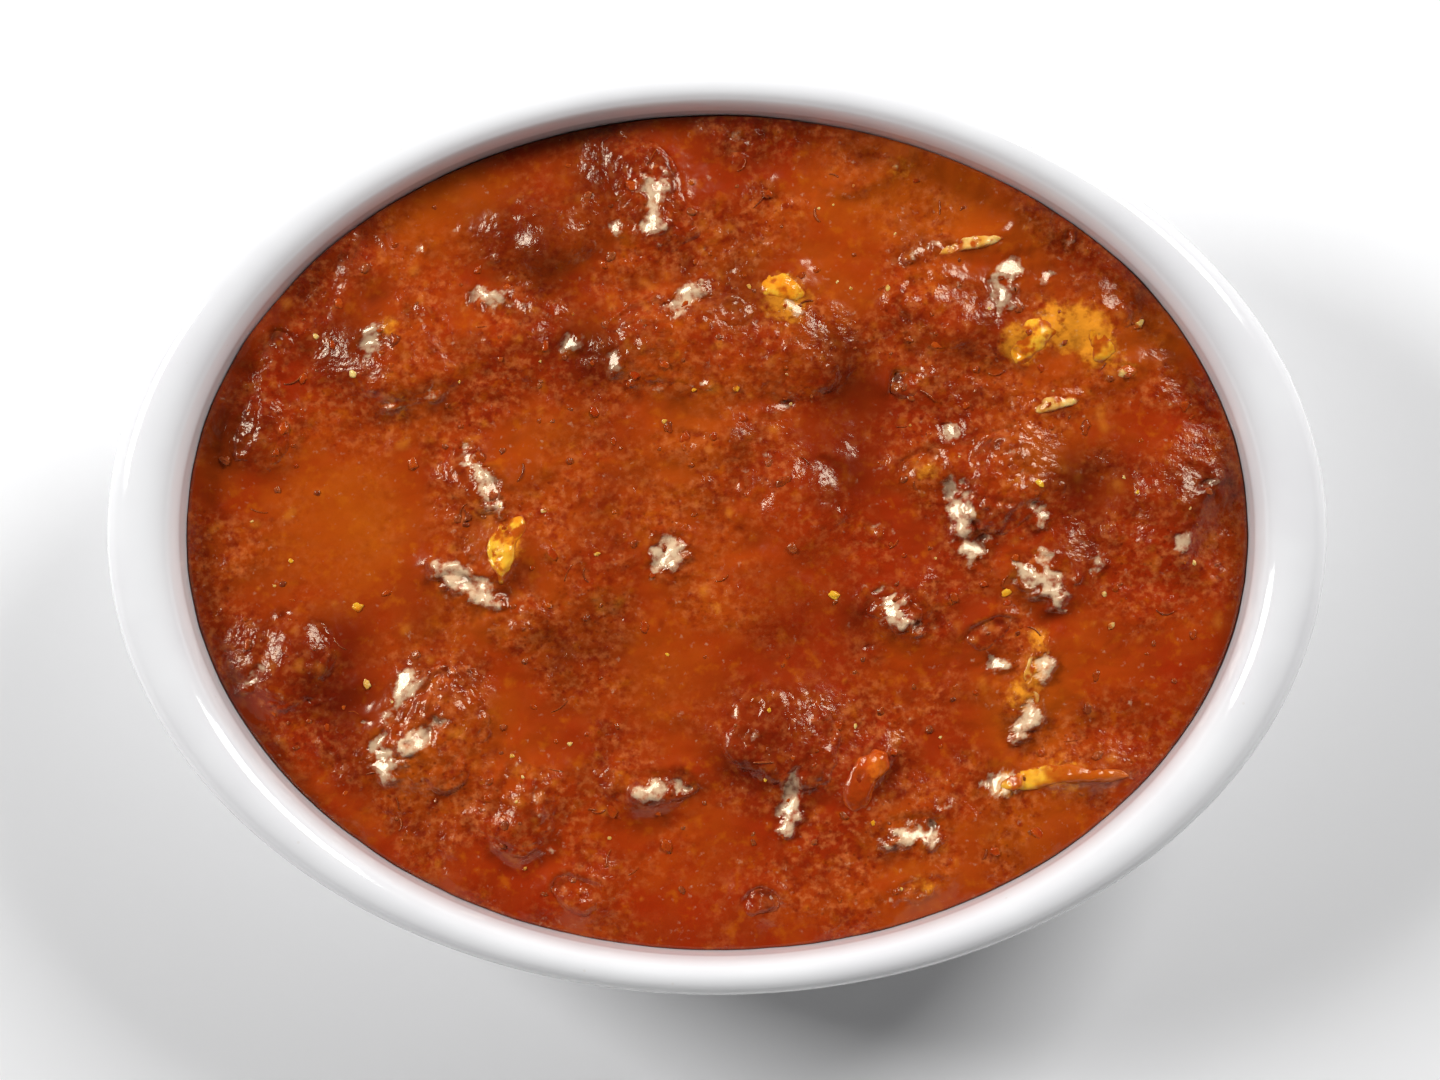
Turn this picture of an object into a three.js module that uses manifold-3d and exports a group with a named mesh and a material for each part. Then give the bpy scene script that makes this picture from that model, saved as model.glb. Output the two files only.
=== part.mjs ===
// Chili con carne in an oval stoneware dish. Millimetres, +Z up.
// The origin is on the table under the middle of the dish; the long way of the oval is X.
import * as THREE from "three";
import { mergeVertices } from "three/addons/utils/BufferGeometryUtils.js";
import Module from "manifold-3d";

const wasm = await Module();
wasm.setup();

// ---------------------------------------------------------------- driving dimensions

const DISH_LENGTH = 200;
const DISH_WIDTH = 151.4;
const DISH_HEIGHT = 48;
const MOUTH_LENGTH = 177.4;
const MOUTH_WIDTH = 139.4;
const FLOOR_THICKNESS = 5.4;
const FOOT_OUTER_RADIUS = 70; // half the length of the foot ring, along X
const FOOT_RING_WIDTH = 6;
const FOOT_RECESS = 1.2;

const SAUCE_LEVEL = 38.4; // height of the sauce where it is flat
const SAUCE_RIPPLE = 0.22; // height of the slow waves in the sauce
const RIPPLE_LENGTH_X = 27.3; // of one wave along the dish
const RIPPLE_LENGTH_Y = 23.3; // and across it
const CLEARANCE = 0.35; // gap between two pieces that touch

const DEEPEST_SINK = 4; // how far the thickest pieces reach below the sauce level
const SINK_TO_WIDTH = 0.6; // how far a narrow piece reaches below it, as a share of its width
const SHOULDER_DROP = 0.8; // a piece starts to round over this far below the sauce level
const BASE_TO_GIRTH = 0.86; // width of a piece's underside as a share of its full width
const POCKET_HEADROOM = 12; // how far the pocket tools reach above the sauce level
const DOME_BULGE = 0.75; // below 1 the sides of a piece stay full towards the top
const DOME_FLATNESS = 0.85; // below 1 the rise is steeper at the sides
const OUTLINE_SQUARENESS = 2.9; // 2 is an oval, more is a rounded oblong
const DENT_DEPTH = 0.07; // of three broad dents round a piece, as a share of its reach
const NICK_DEPTH = 0.04; // of five narrower ones
const TOP_WAVES = 0.1; // unevenness of a piece's top, as a share of its rise
const TOP_LEAN = 0.16; // how much higher one side of it is

const DISH_SEGMENTS = 52;
const SAUCE_RINGS = 9; // rings of faces on top of the sauce
const LARGE_PIECE = { segments: 16, rings: 5 };
const SMALL_PIECE = { segments: 10, rings: 3 };
const LARGE_PIECE_WIDTH = 9; // a piece at least this wide has the finer mesh

const RIM_OUTER_RADIUS = DISH_LENGTH / 2;
const MOUTH_RADIUS = MOUTH_LENGTH / 2;
const TURN = Math.PI * 2;
const NEARLY_NOTHING = 0.01;

// ---------------------------------------------------------------- the pieces of food

// Each row: name, x, y, length, width, rise above the sauce, turn in degrees, bend.
// Bend is how far the ends of a strip curve to its left, as a share of its length.
const BEEF_CHUNKS = [
  ["beef_top", -11.5, 55.4, 23, 14, 4.6, -66, 0],
  ["beef_top_left", -27.6, 49.6, 18, 13.5, 3.9, 10, 0],
  ["beef_left_upper", -50.8, 28.8, 18.5, 17, 4.2, 28, 0],
  ["beef_upper_middle", -33.6, 32, 15.5, 13.5, 3.4, -12, 0],
  ["beef_middle_fibrous", -4.6, 30.6, 31, 19, 4.7, -4, 0.02],
  ["beef_middle_end", 14.4, 30.4, 14, 16, 4.2, 14, 0],
  ["beef_right_upper", 38.4, 36.6, 18, 13, 3.8, -24, 0],
  ["beef_right_knob", 48, 8.4, 19, 17.5, 4.8, 38, 0],
  ["beef_right_edge", 74.4, 4.2, 19, 16, 3.6, 76, 0],
  ["beef_right_top_edge", 63.6, 38.6, 14, 9.5, 3.4, -44, 0],
  ["beef_centre", 13.8, 5.2, 17, 16, 3.7, 62, 0],
  ["beef_centre_low", 8.2, -10.6, 16, 12.5, 2.7, -18, 0],
  ["beef_centre_left", -21.2, -4.6, 15, 14, 2.8, 33, 0],
  ["beef_left_lower", -46.4, -33.4, 22, 18, 4.9, 62, 0],
  ["beef_lower_left", -31.8, -45.6, 17, 12.5, 3.9, 74, 0],
  ["beef_lower_middle", 11.6, -34.4, 21, 17, 4.6, -28, 0],
  ["beef_left_edge", -70.4, -21.2, 17.5, 13.5, 3.7, 64, 0],
  ["beef_left_edge_upper", -75.2, 17.4, 15.5, 10.5, 3.1, 80, 0],
];
const BEEF_CRUMBS = [
  ["beef_crumb_left_top", -59.6, 44.6, 12.5, 8.6, 2.9, 41, 0],
  ["beef_crumb_far_left", -73, 29.8, 9, 7.4, 2.8, 55, 0],
  ["beef_crumb_lower", -10.4, -42.2, 15.5, 7.6, 3.3, 6, 0],
  ["beef_crumb_right", 29.6, -12.8, 11, 8.6, 3.6, -42, 0],
  ["beef_crumb_centre", -7.2, -4.4, 10.5, 8.4, 3, 66, 0],
  ["beef_crumb_right_low", 54, -7.2, 12, 9, 4.1, -24, 0],
  ["beef_crumb_bottom_right", 32.4, -49.6, 11.5, 7.6, 3.3, 12, 0],
  ["beef_crumb_bottom", 7.2, -61.2, 7, 5.2, 2.7, 8, 0],
  ["beef_crumb_bottom_left", -23.2, -59.8, 9.6, 7, 2.9, -24, 0],
  ["beef_crumb_bottom_edge", 33.6, -58.8, 9.6, 5, 2.8, 27, 0],
  ["beef_crumb_left", -38.2, 7.4, 10.4, 6.2, 3.6, -56, 0],
  ["beef_crumb_left_low", -42, -8.6, 8.6, 4.8, 3.1, -24, 0],
  ["beef_crumb_left_lowest", -33.6, -15.8, 10.4, 6, 3, 20, 0],
  ["beef_crumb_top_edge", 3.6, 64.6, 5.6, 4.8, 2.5, 0, 0],
  ["beef_crumb_right_middle", 34.6, 10.6, 10.5, 8.2, 3.3, 34, 0],
  ["beef_crumb_upper_right", 32.2, 24.8, 8.4, 5.6, 3, 12, 0],
  ["beef_shred_middle", -3.4, 13.4, 19, 6.8, 3, -7, 0.05],
  ["beef_shred_right", 45, -16.6, 9.6, 5.4, 2.9, 24, 0],
];
const YELLOW_PEPPER = [
  ["pepper_left", -34.4, -2.4, 13.2, 6.2, 4.1, 72, 0.06],
  ["pepper_middle", 10.2, 39.8, 10.4, 5.8, 4.3, -16, 0.08],
  ["pepper_right_upper", 53.2, 31.6, 11.6, 8, 4.2, 34, 0.12],
  ["pepper_right_small", 63, 31.2, 8.6, 5.4, 3.9, -66, 0.05],
  ["pepper_strip_right", 57.2, -40.8, 23.5, 4.2, 3.2, 5, 0.04],
];
const RED_PEPPER = [["red_pepper_lower", 24.6, -41, 12, 6.6, 3.9, 62, 0.06]];
const ONION_STRANDS = [
  ["strand_right_upper", 41.6, 46.4, 15.5, 2.6, 3.9, 16, 0.1],
  ["strand_top_right", 25.4, 58.8, 14.5, 2.8, 2.7, 26, -0.04],
  ["strand_right_middle", 56, 21.2, 8.6, 3.6, 3.2, 12, 0.06],
  ["strand_right_tip", 67.6, 26.6, 5.4, 3, 3.1, 6, 0],
  ["strand_right_lower", 53.4, -23.6, 18.5, 4.4, 3.4, 78, 0.05],
];

// Each row: x, y, radius and rise of a broad swell in the sauce, or a hollow where it falls.
const SWELLS = [
  [18, 5, 15, 1.2],
  [-21, -5, 14, 1],
  [-8, 14, 15, 1.4],
  [4, -22, 13, 0.9],
  [-22, -25, 12, 1.1],
  [68, 20, 10, 1.2],
  [72, -18, 14, 1.4],
  [12, 52, 12, 1],
  [-50, 47, 11, 1.1],
  [46, -49, 10, 1.1],
  [-8, -53, 12, -0.9],
  [-66, 0, 14, -0.8],
  [-60, -11, 9, -1.1],
  [24.5, 20.5, 7, -1.9],
  [61, 10, 6, -1.8],
  [-29, 40.4, 6, -1],
  [-22, -17.4, 7, -1.5],
  [36, -29, 12, -0.7],
  [26.4, -30, 7, -1.2],
  [22.4, -12.8, 4, -1.2],
];

// ---------------------------------------------------------------- finishes

const glazedStoneware = () =>
  new THREE.MeshStandardMaterial({ color: 0xf1f0f1, roughness: 0.16, metalness: 0 });
const chiliSauce = () =>
  new THREE.MeshStandardMaterial({ color: 0xa8410f, roughness: 0.28, metalness: 0 });
const braisedBeef = () =>
  new THREE.MeshStandardMaterial({ color: 0x93310c, roughness: 0.36, metalness: 0 });
const yellowPepper = () =>
  new THREE.MeshStandardMaterial({ color: 0xe08a17, roughness: 0.3, metalness: 0 });
const redPepper = () =>
  new THREE.MeshStandardMaterial({ color: 0xc0400f, roughness: 0.3, metalness: 0 });
const softOnion = () =>
  new THREE.MeshStandardMaterial({ color: 0xd9923a, roughness: 0.34, metalness: 0 });

// ---------------------------------------------------------------- solids and meshes

// A closed geometry as a solid that can be cut.
function solidOf(geometry) {
  const bare = geometry.clone();
  bare.deleteAttribute("normal");
  bare.deleteAttribute("uv");
  const merged = mergeVertices(bare, 1e-4);
  return new wasm.Manifold(
    new wasm.Mesh({
      numProp: 3,
      vertProperties: merged.attributes.position.array,
      triVerts: new Uint32Array(merged.index.array),
    }),
  );
}

// A cut solid as a geometry.
function geometryOf(solid) {
  const mesh = solid.getMesh();
  const geometry = new THREE.BufferGeometry();
  geometry.setAttribute("position", new THREE.BufferAttribute(mesh.vertProperties, 3));
  geometry.setIndex(new THREE.BufferAttribute(mesh.triVerts, 1));
  geometry.computeVertexNormals();
  return geometry;
}

// The largest body of a solid that a cut may have split.
function largestBody(solid) {
  return solid.decompose().reduce((best, body) => (body.volume() > best.volume() ? body : best));
}

function namedMesh(name, geometry, material) {
  const mesh = new THREE.Mesh(geometry, material);
  mesh.name = name;
  return mesh;
}

// A profile of [radius, height] pairs turned about Z, with every vertex then moved by reshape.
function turned(profile, segments, reshape) {
  const points = profile.map(([radius, height]) => new THREE.Vector2(radius, height));
  const geometry = new THREE.LatheGeometry(points, segments);
  geometry.rotateX(Math.PI / 2);
  const position = geometry.attributes.position;
  const vertex = new THREE.Vector3();
  for (let i = 0; i < position.count; i += 1) {
    vertex.fromBufferAttribute(position, i);
    reshape(vertex);
    position.setXYZ(i, vertex.x, vertex.y, vertex.z);
  }
  return geometry;
}

// ---------------------------------------------------------------- the oval

// Half the width of the oval whose half length is radius. The rim is broader at the two ends
// of the dish than along its sides.
function sideRadius(radius) {
  const mouthSide = MOUTH_WIDTH / 2;
  if (radius <= MOUTH_RADIUS) return (radius * mouthSide) / MOUTH_RADIUS;
  const share = (radius - MOUTH_RADIUS) / (RIM_OUTER_RADIUS - MOUTH_RADIUS);
  return mouthSide + share * (DISH_WIDTH / 2 - mouthSide);
}

// Squeezes a turned shape into the oval.
function toOval(vertex) {
  const radius = Math.hypot(vertex.x, vertex.y);
  if (radius > 0) vertex.y *= sideRadius(radius) / radius;
}

// ---------------------------------------------------------------- the dish

// Inside of the dish from the middle of its floor to the mouth, moved in by gap: flat in the
// middle, well rounded at the corner and almost upright at the mouth. Each row of a profile is
// a radius along X and a height.
function insideProfile(gap) {
  const floor = FLOOR_THICKNESS + gap;
  return [
    [0, floor],
    [60 - gap, floor + 0.2],
    [70 - gap, floor + 2.6],
    [77.5 - gap, floor + 7.4],
    [82.6 - gap, floor + 14.2],
    [86 - gap, floor + 23],
    [87.6 - gap, floor + 30],
    [88.3 - gap, floor + 36],
  ];
}

// The section of the dish: a recessed foot ring, a wall that swells outward and a rolled rim.
function dishGeometry() {
  const rimTop = DISH_HEIGHT;
  const footOuter = FOOT_OUTER_RADIUS;
  const footInner = footOuter - FOOT_RING_WIDTH;
  const outside = [
    [0, FOOT_RECESS],
    [footInner - 1.2, FOOT_RECESS],
    [footInner, 0],
    [footOuter, 0],
    [footOuter + 2, 0.9],
    [footOuter + 9, 5.6],
    [footOuter + 15.6, 14.2],
    [footOuter + 20, 25],
    [footOuter + 23, 38],
    [footOuter + 24.6, rimTop - 6.2],
  ];
  const rim = [
    [RIM_OUTER_RADIUS - 1.6, rimTop - 5.4],
    [RIM_OUTER_RADIUS - 0.2, rimTop - 4],
    [RIM_OUTER_RADIUS, rimTop - 3],
    [RIM_OUTER_RADIUS - 0.7, rimTop - 1.6],
    [RIM_OUTER_RADIUS - 2.6, rimTop - 0.4],
    [RIM_OUTER_RADIUS - 5.2, rimTop],
    [MOUTH_RADIUS + 3.6, rimTop - 0.4],
    [MOUTH_RADIUS + 1.4, rimTop - 1.7],
    [MOUTH_RADIUS, rimTop - 4],
  ];
  return turned([...outside, ...rim, ...insideProfile(0).reverse()], DISH_SEGMENTS, toOval);
}

// ---------------------------------------------------------------- the sauce

// Height of the top of the sauce at a place in the dish.
function sauceHeight(x, y) {
  const swell = SWELLS.reduce((sum, [cx, cy, radius, rise]) => {
    const reach = ((x - cx) ** 2 + (y - cy) ** 2) / radius ** 2;
    return sum + rise * Math.exp(-reach);
  }, 0);
  const waveX = Math.sin((TURN * x) / RIPPLE_LENGTH_X + 0.9);
  const waveY = Math.cos((TURN * y) / RIPPLE_LENGTH_Y - 0.4);
  return SAUCE_LEVEL + swell + SAUCE_RIPPLE * waveX * waveY;
}

function sauceGeometry() {
  const belowTop = SAUCE_LEVEL - 2;
  const wall = insideProfile(CLEARANCE).filter(([, height]) => height < belowTop);
  const edge = wall.at(-1)[0] + 0.5; // the wall leans out a little from its last ring to the top
  const top = [];
  for (let ring = 0; ring <= SAUCE_RINGS; ring += 1) {
    top.push([(edge * (SAUCE_RINGS - ring)) / SAUCE_RINGS, SAUCE_LEVEL]);
  }
  return turned([...wall, ...top], DISH_SEGMENTS, (vertex) => {
    const onTop = vertex.z > SAUCE_LEVEL - NEARLY_NOTHING;
    toOval(vertex);
    if (onTop) vertex.z = sauceHeight(vertex.x, vertex.y);
  });
}

// ---------------------------------------------------------------- the pieces

// How far the outline of a cut chunk stands out in one direction: a rounded oblong with
// shallow dents, another one for each phase.
function outlineReach(angle, phase) {
  const across = Math.abs(Math.cos(angle)) ** OUTLINE_SQUARENESS;
  const along = Math.abs(Math.sin(angle)) ** OUTLINE_SQUARENESS;
  const dents = DENT_DEPTH * Math.sin(3 * angle + phase);
  const nicks = NICK_DEPTH * Math.sin(5 * angle - 2 * phase);
  return (across + along) ** (-1 / OUTLINE_SQUARENESS) * (1 + dents + nicks);
}

// A piece about its own middle, from a plinth that sinks into the sauce to a rounded top.
// With tool set it is the straight-sided pocket that clears the piece.
function pieceGeometry(piece, tool) {
  const [, x, y, length, width, rise, , bend] = piece;
  const phase = (x * 0.37 + y * 0.61) % TURN;
  const grow = tool ? CLEARANCE : 0;
  const sink = Math.min(DEEPEST_SINK, width * SINK_TO_WIDTH);
  const base = SAUCE_LEVEL - sink - grow;
  const crown = SAUCE_LEVEL + rise;
  const shoulder = SAUCE_LEVEL - SHOULDER_DROP;
  const { segments, rings } = width >= LARGE_PIECE_WIDTH ? LARGE_PIECE : SMALL_PIECE;
  const dome = [];
  for (let ring = 0; ring <= rings; ring += 1) {
    const lean = (ring / rings) * (Math.PI / 2);
    const radius = ring === rings ? 0 : Math.cos(lean) ** DOME_BULGE;
    dome.push([radius, shoulder + (crown - shoulder) * Math.sin(lean) ** DOME_FLATNESS]);
  }
  const pocketTop = SAUCE_LEVEL + POCKET_HEADROOM;
  const profile = tool
    ? [[0, base], [1, base], [1, pocketTop], [0, pocketTop]]
    : [[0, base], [BASE_TO_GIRTH, base], ...dome];
  return turned(profile, segments, (vertex) => {
    const radius = Math.hypot(vertex.x, vertex.y);
    const reach = outlineReach(Math.atan2(vertex.y, vertex.x), phase);
    const share = radius > 0 ? reach : 1;
    vertex.x *= share * (length / 2 + grow);
    vertex.y *= share * (width / 2 + grow);
    if (!tool && vertex.z > shoulder + NEARLY_NOTHING) {
      const lift = (vertex.z - shoulder) / (crown - shoulder);
      const u = (2 * vertex.x) / length;
      const v = (2 * vertex.y) / width;
      const waves = Math.sin(3.1 * u + phase) * Math.cos(2.7 * v - phase);
      const lean = u * Math.cos(2 * phase) + v * Math.sin(2 * phase);
      vertex.z += lift * rise * (TOP_WAVES * waves + TOP_LEAN * (lean - 1));
    }
    vertex.y += bend * length * (1 - (4 * vertex.x ** 2) / length ** 2);
  });
}

// Where a piece stands in the dish.
function placement(piece) {
  const [, x, y, , , , degrees] = piece;
  const place = new THREE.Object3D();
  place.position.set(x, y, 0);
  place.rotation.z = THREE.MathUtils.degToRad(degrees);
  place.updateMatrix();
  return place;
}

// ---------------------------------------------------------------- putting the dish together

const chili = new THREE.Group();
chili.name = "chili_con_carne";
const food = new THREE.Group();
food.name = "food";
chili.add(namedMesh("dish", dishGeometry(), glazedStoneware()));
chili.add(food);

// Pieces are set from the last laid to the first, so each is cut round those that lie over it.
const layers = [
  [YELLOW_PEPPER, yellowPepper],
  [RED_PEPPER, redPepper],
  [ONION_STRANDS, softOnion],
  [BEEF_CRUMBS, braisedBeef],
  [BEEF_CHUNKS, braisedBeef],
];
const pockets = [];
for (const [pieces, finish] of layers) {
  for (const piece of pieces) {
    const place = placement(piece);
    const solid = solidOf(pieceGeometry(piece, false).applyMatrix4(place.matrix));
    const cut = pockets.reduce((left, pocket) => left.subtract(pocket), solid);
    const geometry = geometryOf(largestBody(cut)).applyMatrix4(place.matrix.clone().invert());
    const mesh = namedMesh(piece[0], geometry, finish());
    mesh.position.copy(place.position);
    mesh.rotation.copy(place.rotation);
    food.add(mesh);
    pockets.push(solidOf(pieceGeometry(piece, true).applyMatrix4(place.matrix)));
  }
}

const sauce = pockets.reduce((left, pocket) => left.subtract(pocket), solidOf(sauceGeometry()));
food.add(namedMesh("sauce", geometryOf(largestBody(sauce)), chiliSauce()));

export default chili;
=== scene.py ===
"""Chili con carne in an oval stoneware dish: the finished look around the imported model.

Sizes in the classes are millimetres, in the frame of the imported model: origin under the middle of the
dish, +X along the long way of the oval, +Z up. Meshes are scaled to metres where they are made.
"""

import logging
import math
from dataclasses import dataclass, field, replace
from enum import Enum

import bmesh
import bpy
import numpy as np
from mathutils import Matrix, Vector
from mathutils.bvhtree import BVHTree


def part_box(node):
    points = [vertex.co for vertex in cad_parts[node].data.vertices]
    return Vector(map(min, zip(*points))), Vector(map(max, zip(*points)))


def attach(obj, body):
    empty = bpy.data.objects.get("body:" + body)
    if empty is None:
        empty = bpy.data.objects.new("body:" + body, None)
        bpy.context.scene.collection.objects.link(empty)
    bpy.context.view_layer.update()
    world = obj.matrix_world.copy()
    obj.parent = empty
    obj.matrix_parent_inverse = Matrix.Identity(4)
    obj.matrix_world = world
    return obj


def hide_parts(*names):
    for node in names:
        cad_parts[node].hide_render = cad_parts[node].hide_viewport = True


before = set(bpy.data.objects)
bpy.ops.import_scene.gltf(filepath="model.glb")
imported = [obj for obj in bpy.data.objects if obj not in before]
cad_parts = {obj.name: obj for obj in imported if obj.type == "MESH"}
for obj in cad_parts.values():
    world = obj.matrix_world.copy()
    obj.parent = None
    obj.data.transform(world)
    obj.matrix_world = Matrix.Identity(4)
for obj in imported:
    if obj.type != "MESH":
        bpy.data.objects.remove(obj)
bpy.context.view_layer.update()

MM = 0.001
WELD = 1e-7
BODY = "root"
SAUCE_LEVEL = 38.4
WET_SPECULAR = 0.4
WET_TINT = (1.0, 0.92, 0.72)
WET_IOR = 1.5
SMOOTHEST = 0.11
Colour = tuple[float, float, float]
Section = list[tuple[float, float]]
Faces = list[tuple[int, ...]]
Socket = bpy.types.NodeSocket

log = logging.getLogger("chili")


# ------------------------------------------------------------------------------------ noise


class SmoothNoise:
    """Seeded gradient noise over points in millimetres, from about -1 to 1."""

    CELLS = 256
    GAIN = 1.6
    OCTAVE_SHIFT = 17.3

    def __init__(self, seed: int) -> None:
        """Draws the lattice of slopes.

        Args:
            seed: which noise this is.
        """
        rng = np.random.default_rng(seed)
        self.order = rng.permutation(self.CELLS)
        slopes = rng.normal(size=(self.CELLS, 3))
        self.slopes = slopes / np.linalg.norm(slopes, axis=1)[:, None]

    def _key(self, cell: np.ndarray) -> np.ndarray:
        """Which slope belongs to each corner of the lattice.

        Args:
            cell: the corners, one row each.

        Returns:
            The slopes' numbers.
        """
        last = self.CELLS - 1
        key = self.order[cell[:, 0] & last]
        key = self.order[(key + cell[:, 1]) & last]
        return self.order[(key + cell[:, 2]) & last]

    def once(self, points: np.ndarray) -> np.ndarray:
        """One octave of noise, with features about one unit across.

        Args:
            points: positions in those units, one row each.

        Returns:
            One value for each point.
        """
        cell = np.floor(points).astype(int)
        part = points - cell
        fade = part**3 * (part * (part * 6 - 15) + 10)
        total = np.zeros(len(points))
        for step in np.ndindex(2, 2, 2):
            corner = np.array(step)
            slope = self.slopes[self._key(cell + corner)]
            weight = np.where(corner == 1, fade, 1 - fade).prod(axis=1)
            total += weight * ((part - corner) * slope).sum(axis=1)
        return self.GAIN * total

    def __call__(self, points: np.ndarray, size: float, octaves: int = 1) -> np.ndarray:
        """Noise of a given grain.

        Args:
            points: positions in millimetres, one row each.
            size: width of the largest features, in millimetres.
            octaves: how many times finer noise of half the strength is added.

        Returns:
            One value for each point.
        """
        total = np.zeros(len(points))
        for octave in range(octaves):
            place = points * (2**octave / size) + self.OCTAVE_SHIFT * octave
            total += self.once(place) / 2**octave
        return total


class CellNoise:
    """Seeded cells, as of grains or bundles of fibre packed side by side."""

    CELLS = 4096
    MIXERS = (73856093, 19349663, 83492791)
    FAR = 9.0

    def __init__(self, seed: int) -> None:
        """Keeps the seed of the cells' centres.

        Args:
            seed: which cells these are.
        """
        rng = np.random.default_rng(seed)
        self.table = rng.random((self.CELLS, 3))

    def _jitter(self, cell: np.ndarray) -> np.ndarray:
        """Where in its cell each centre lies, from 0 to 1."""
        a, b, c = (cell * np.array(self.MIXERS)).T
        return self.table[(a ^ b ^ c) & (self.CELLS - 1)]

    def seams(self, points: np.ndarray) -> np.ndarray:
        """How far each point is from the seam between two cells.

        Args:
            points: positions in units of a cell, one row each.

        Returns:
            The distance for each point, 0 on a seam.
        """
        cell = np.floor(points).astype(int)
        nearest = np.full(len(points), self.FAR)
        second = np.full(len(points), self.FAR)
        for step in np.ndindex(3, 3, 3):
            other = cell + np.array(step) - 1
            reach = np.linalg.norm(other + self._jitter(other) - points, axis=1)
            second = np.minimum(second, np.maximum(nearest, reach))
            nearest = np.minimum(nearest, reach)
        return second - nearest


def smooth_step(value: np.ndarray, low: float, high: float) -> np.ndarray:
    """An even curve between two levels.

    Args:
        value: what is mapped.
        low: where the curve starts.
        high: where it ends.

    Returns:
        0 below low, 1 above high and the curve between them.
    """
    share = np.clip((value - low) / (high - low), 0, 1)
    return share * share * (3 - 2 * share)


# ------------------------------------------------------------------------------------ meshes


def mesh_object(
    name: str, points: np.ndarray, faces: np.ndarray | list, material: bpy.types.Material
) -> bpy.types.Object:
    """Makes a smooth-shaded object that rides on the dish.

    Args:
        name: the piece's name.
        points: vertices in millimetres.
        faces: indices of each face's corners.
        material: its finish.

    Returns:
        The object, in metres, riding on the body.
    """
    mesh = bpy.data.meshes.new(name)
    mesh.from_pydata((points * MM).tolist(), [], [list(map(int, f)) for f in faces])
    mesh.validate()
    mesh.polygons.foreach_set("use_smooth", [True] * len(mesh.polygons))
    mesh.materials.append(material)
    piece = bpy.data.objects.new(name, mesh)
    bpy.context.scene.collection.objects.link(piece)
    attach(piece, BODY)
    return piece


def points_of(mesh: bpy.types.Mesh) -> np.ndarray:
    """Vertices of a mesh.

    Args:
        mesh: the mesh.

    Returns:
        Their places in millimetres, one row each.
    """
    flat = np.empty(len(mesh.vertices) * 3, np.float32)
    mesh.vertices.foreach_get("co", flat)
    return flat.reshape(-1, 3).astype(float) / MM


def normals_of(mesh: bpy.types.Mesh) -> np.ndarray:
    """Vertex normals of a mesh.

    Args:
        mesh: the mesh.

    Returns:
        One normal for each vertex.
    """
    flat = np.empty(len(mesh.vertices) * 3, np.float32)
    mesh.vertices.foreach_get("normal", flat)
    return flat.reshape(-1, 3).astype(float)


def set_points(mesh: bpy.types.Mesh, points: np.ndarray) -> None:
    """Moves the vertices of a mesh to points in millimetres."""
    mesh.vertices.foreach_set("co", (points * MM).astype(np.float32).ravel())
    mesh.update()


def set_shares(mesh: bpy.types.Mesh, shares: dict[str, np.ndarray]) -> None:
    """Stores numbers on the vertices, for a finish to read.

    Args:
        mesh: the mesh.
        shares: one number for each vertex, by the name that the finish knows.
    """
    for name, values in shares.items():
        layer = mesh.attributes.new(name, "FLOAT", "POINT")
        layer.data.foreach_set("value", np.asarray(values, np.float32))


def welded(source: bpy.types.Object) -> bpy.types.Mesh:
    """A copy of an object's mesh with coinciding vertices joined.

    Args:
        source: the object.

    Returns:
        The new mesh.
    """
    made = bmesh.new()
    made.from_mesh(source.data)
    bmesh.ops.remove_doubles(made, verts=made.verts, dist=WELD)
    mesh = bpy.data.meshes.new(source.name + "_welded")
    made.to_mesh(mesh)
    made.free()
    return mesh


def refined(source: bpy.types.Object, cell: float, softening: int) -> bpy.types.Mesh:
    """A fine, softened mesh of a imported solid's form.

    Args:
        source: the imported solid.
        cell: width of the new mesh's faces, in millimetres.
        softening: how many times the edges are smoothed.

    Returns:
        The new mesh.
    """
    helper = bpy.data.objects.new("refining", welded(source))
    bpy.context.scene.collection.objects.link(helper)
    cells = helper.modifiers.new("cells", "REMESH")
    cells.mode = "VOXEL"
    cells.voxel_size = cell * MM
    soften = helper.modifiers.new("soften", "SMOOTH")
    soften.factor = 0.5
    soften.iterations = softening
    graph = bpy.context.evaluated_depsgraph_get()
    mesh = bpy.data.meshes.new_from_object(helper.evaluated_get(graph))
    coarse = helper.data
    bpy.data.objects.remove(helper)
    bpy.data.meshes.remove(coarse)
    return mesh


class Tops:
    """Finds the top surface of some meshes by looking straight down on them."""

    HIGH = 200 * MM

    def __init__(self, meshes: list[bpy.types.Mesh]) -> None:
        """Joins the meshes into one search tree.

        Args:
            meshes: what is looked down on.
        """
        points: list[Vector] = []
        faces: list[list[int]] = []
        for mesh in meshes:
            start = len(points)
            points += [v.co.copy() for v in mesh.vertices]
            faces += [[start + i for i in f.vertices] for f in mesh.polygons]
        self.tree = BVHTree.FromPolygons(points, faces)

    def heights(self, x: np.ndarray, y: np.ndarray) -> np.ndarray:
        """Height of the top at some places.

        Args:
            x: places along X.
            y: places along Y.

        Returns:
            The height at each place, in millimetres, or nan beside the meshes.
        """
        found = np.full(len(x), np.nan)
        down = Vector((0, 0, -1))
        for i, (px, py) in enumerate(zip(x * MM, y * MM)):
            hit = self.tree.ray_cast(Vector((px, py, self.HIGH)), down)[0]
            if hit is not None:
                found[i] = hit.z / MM
        return found


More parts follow.
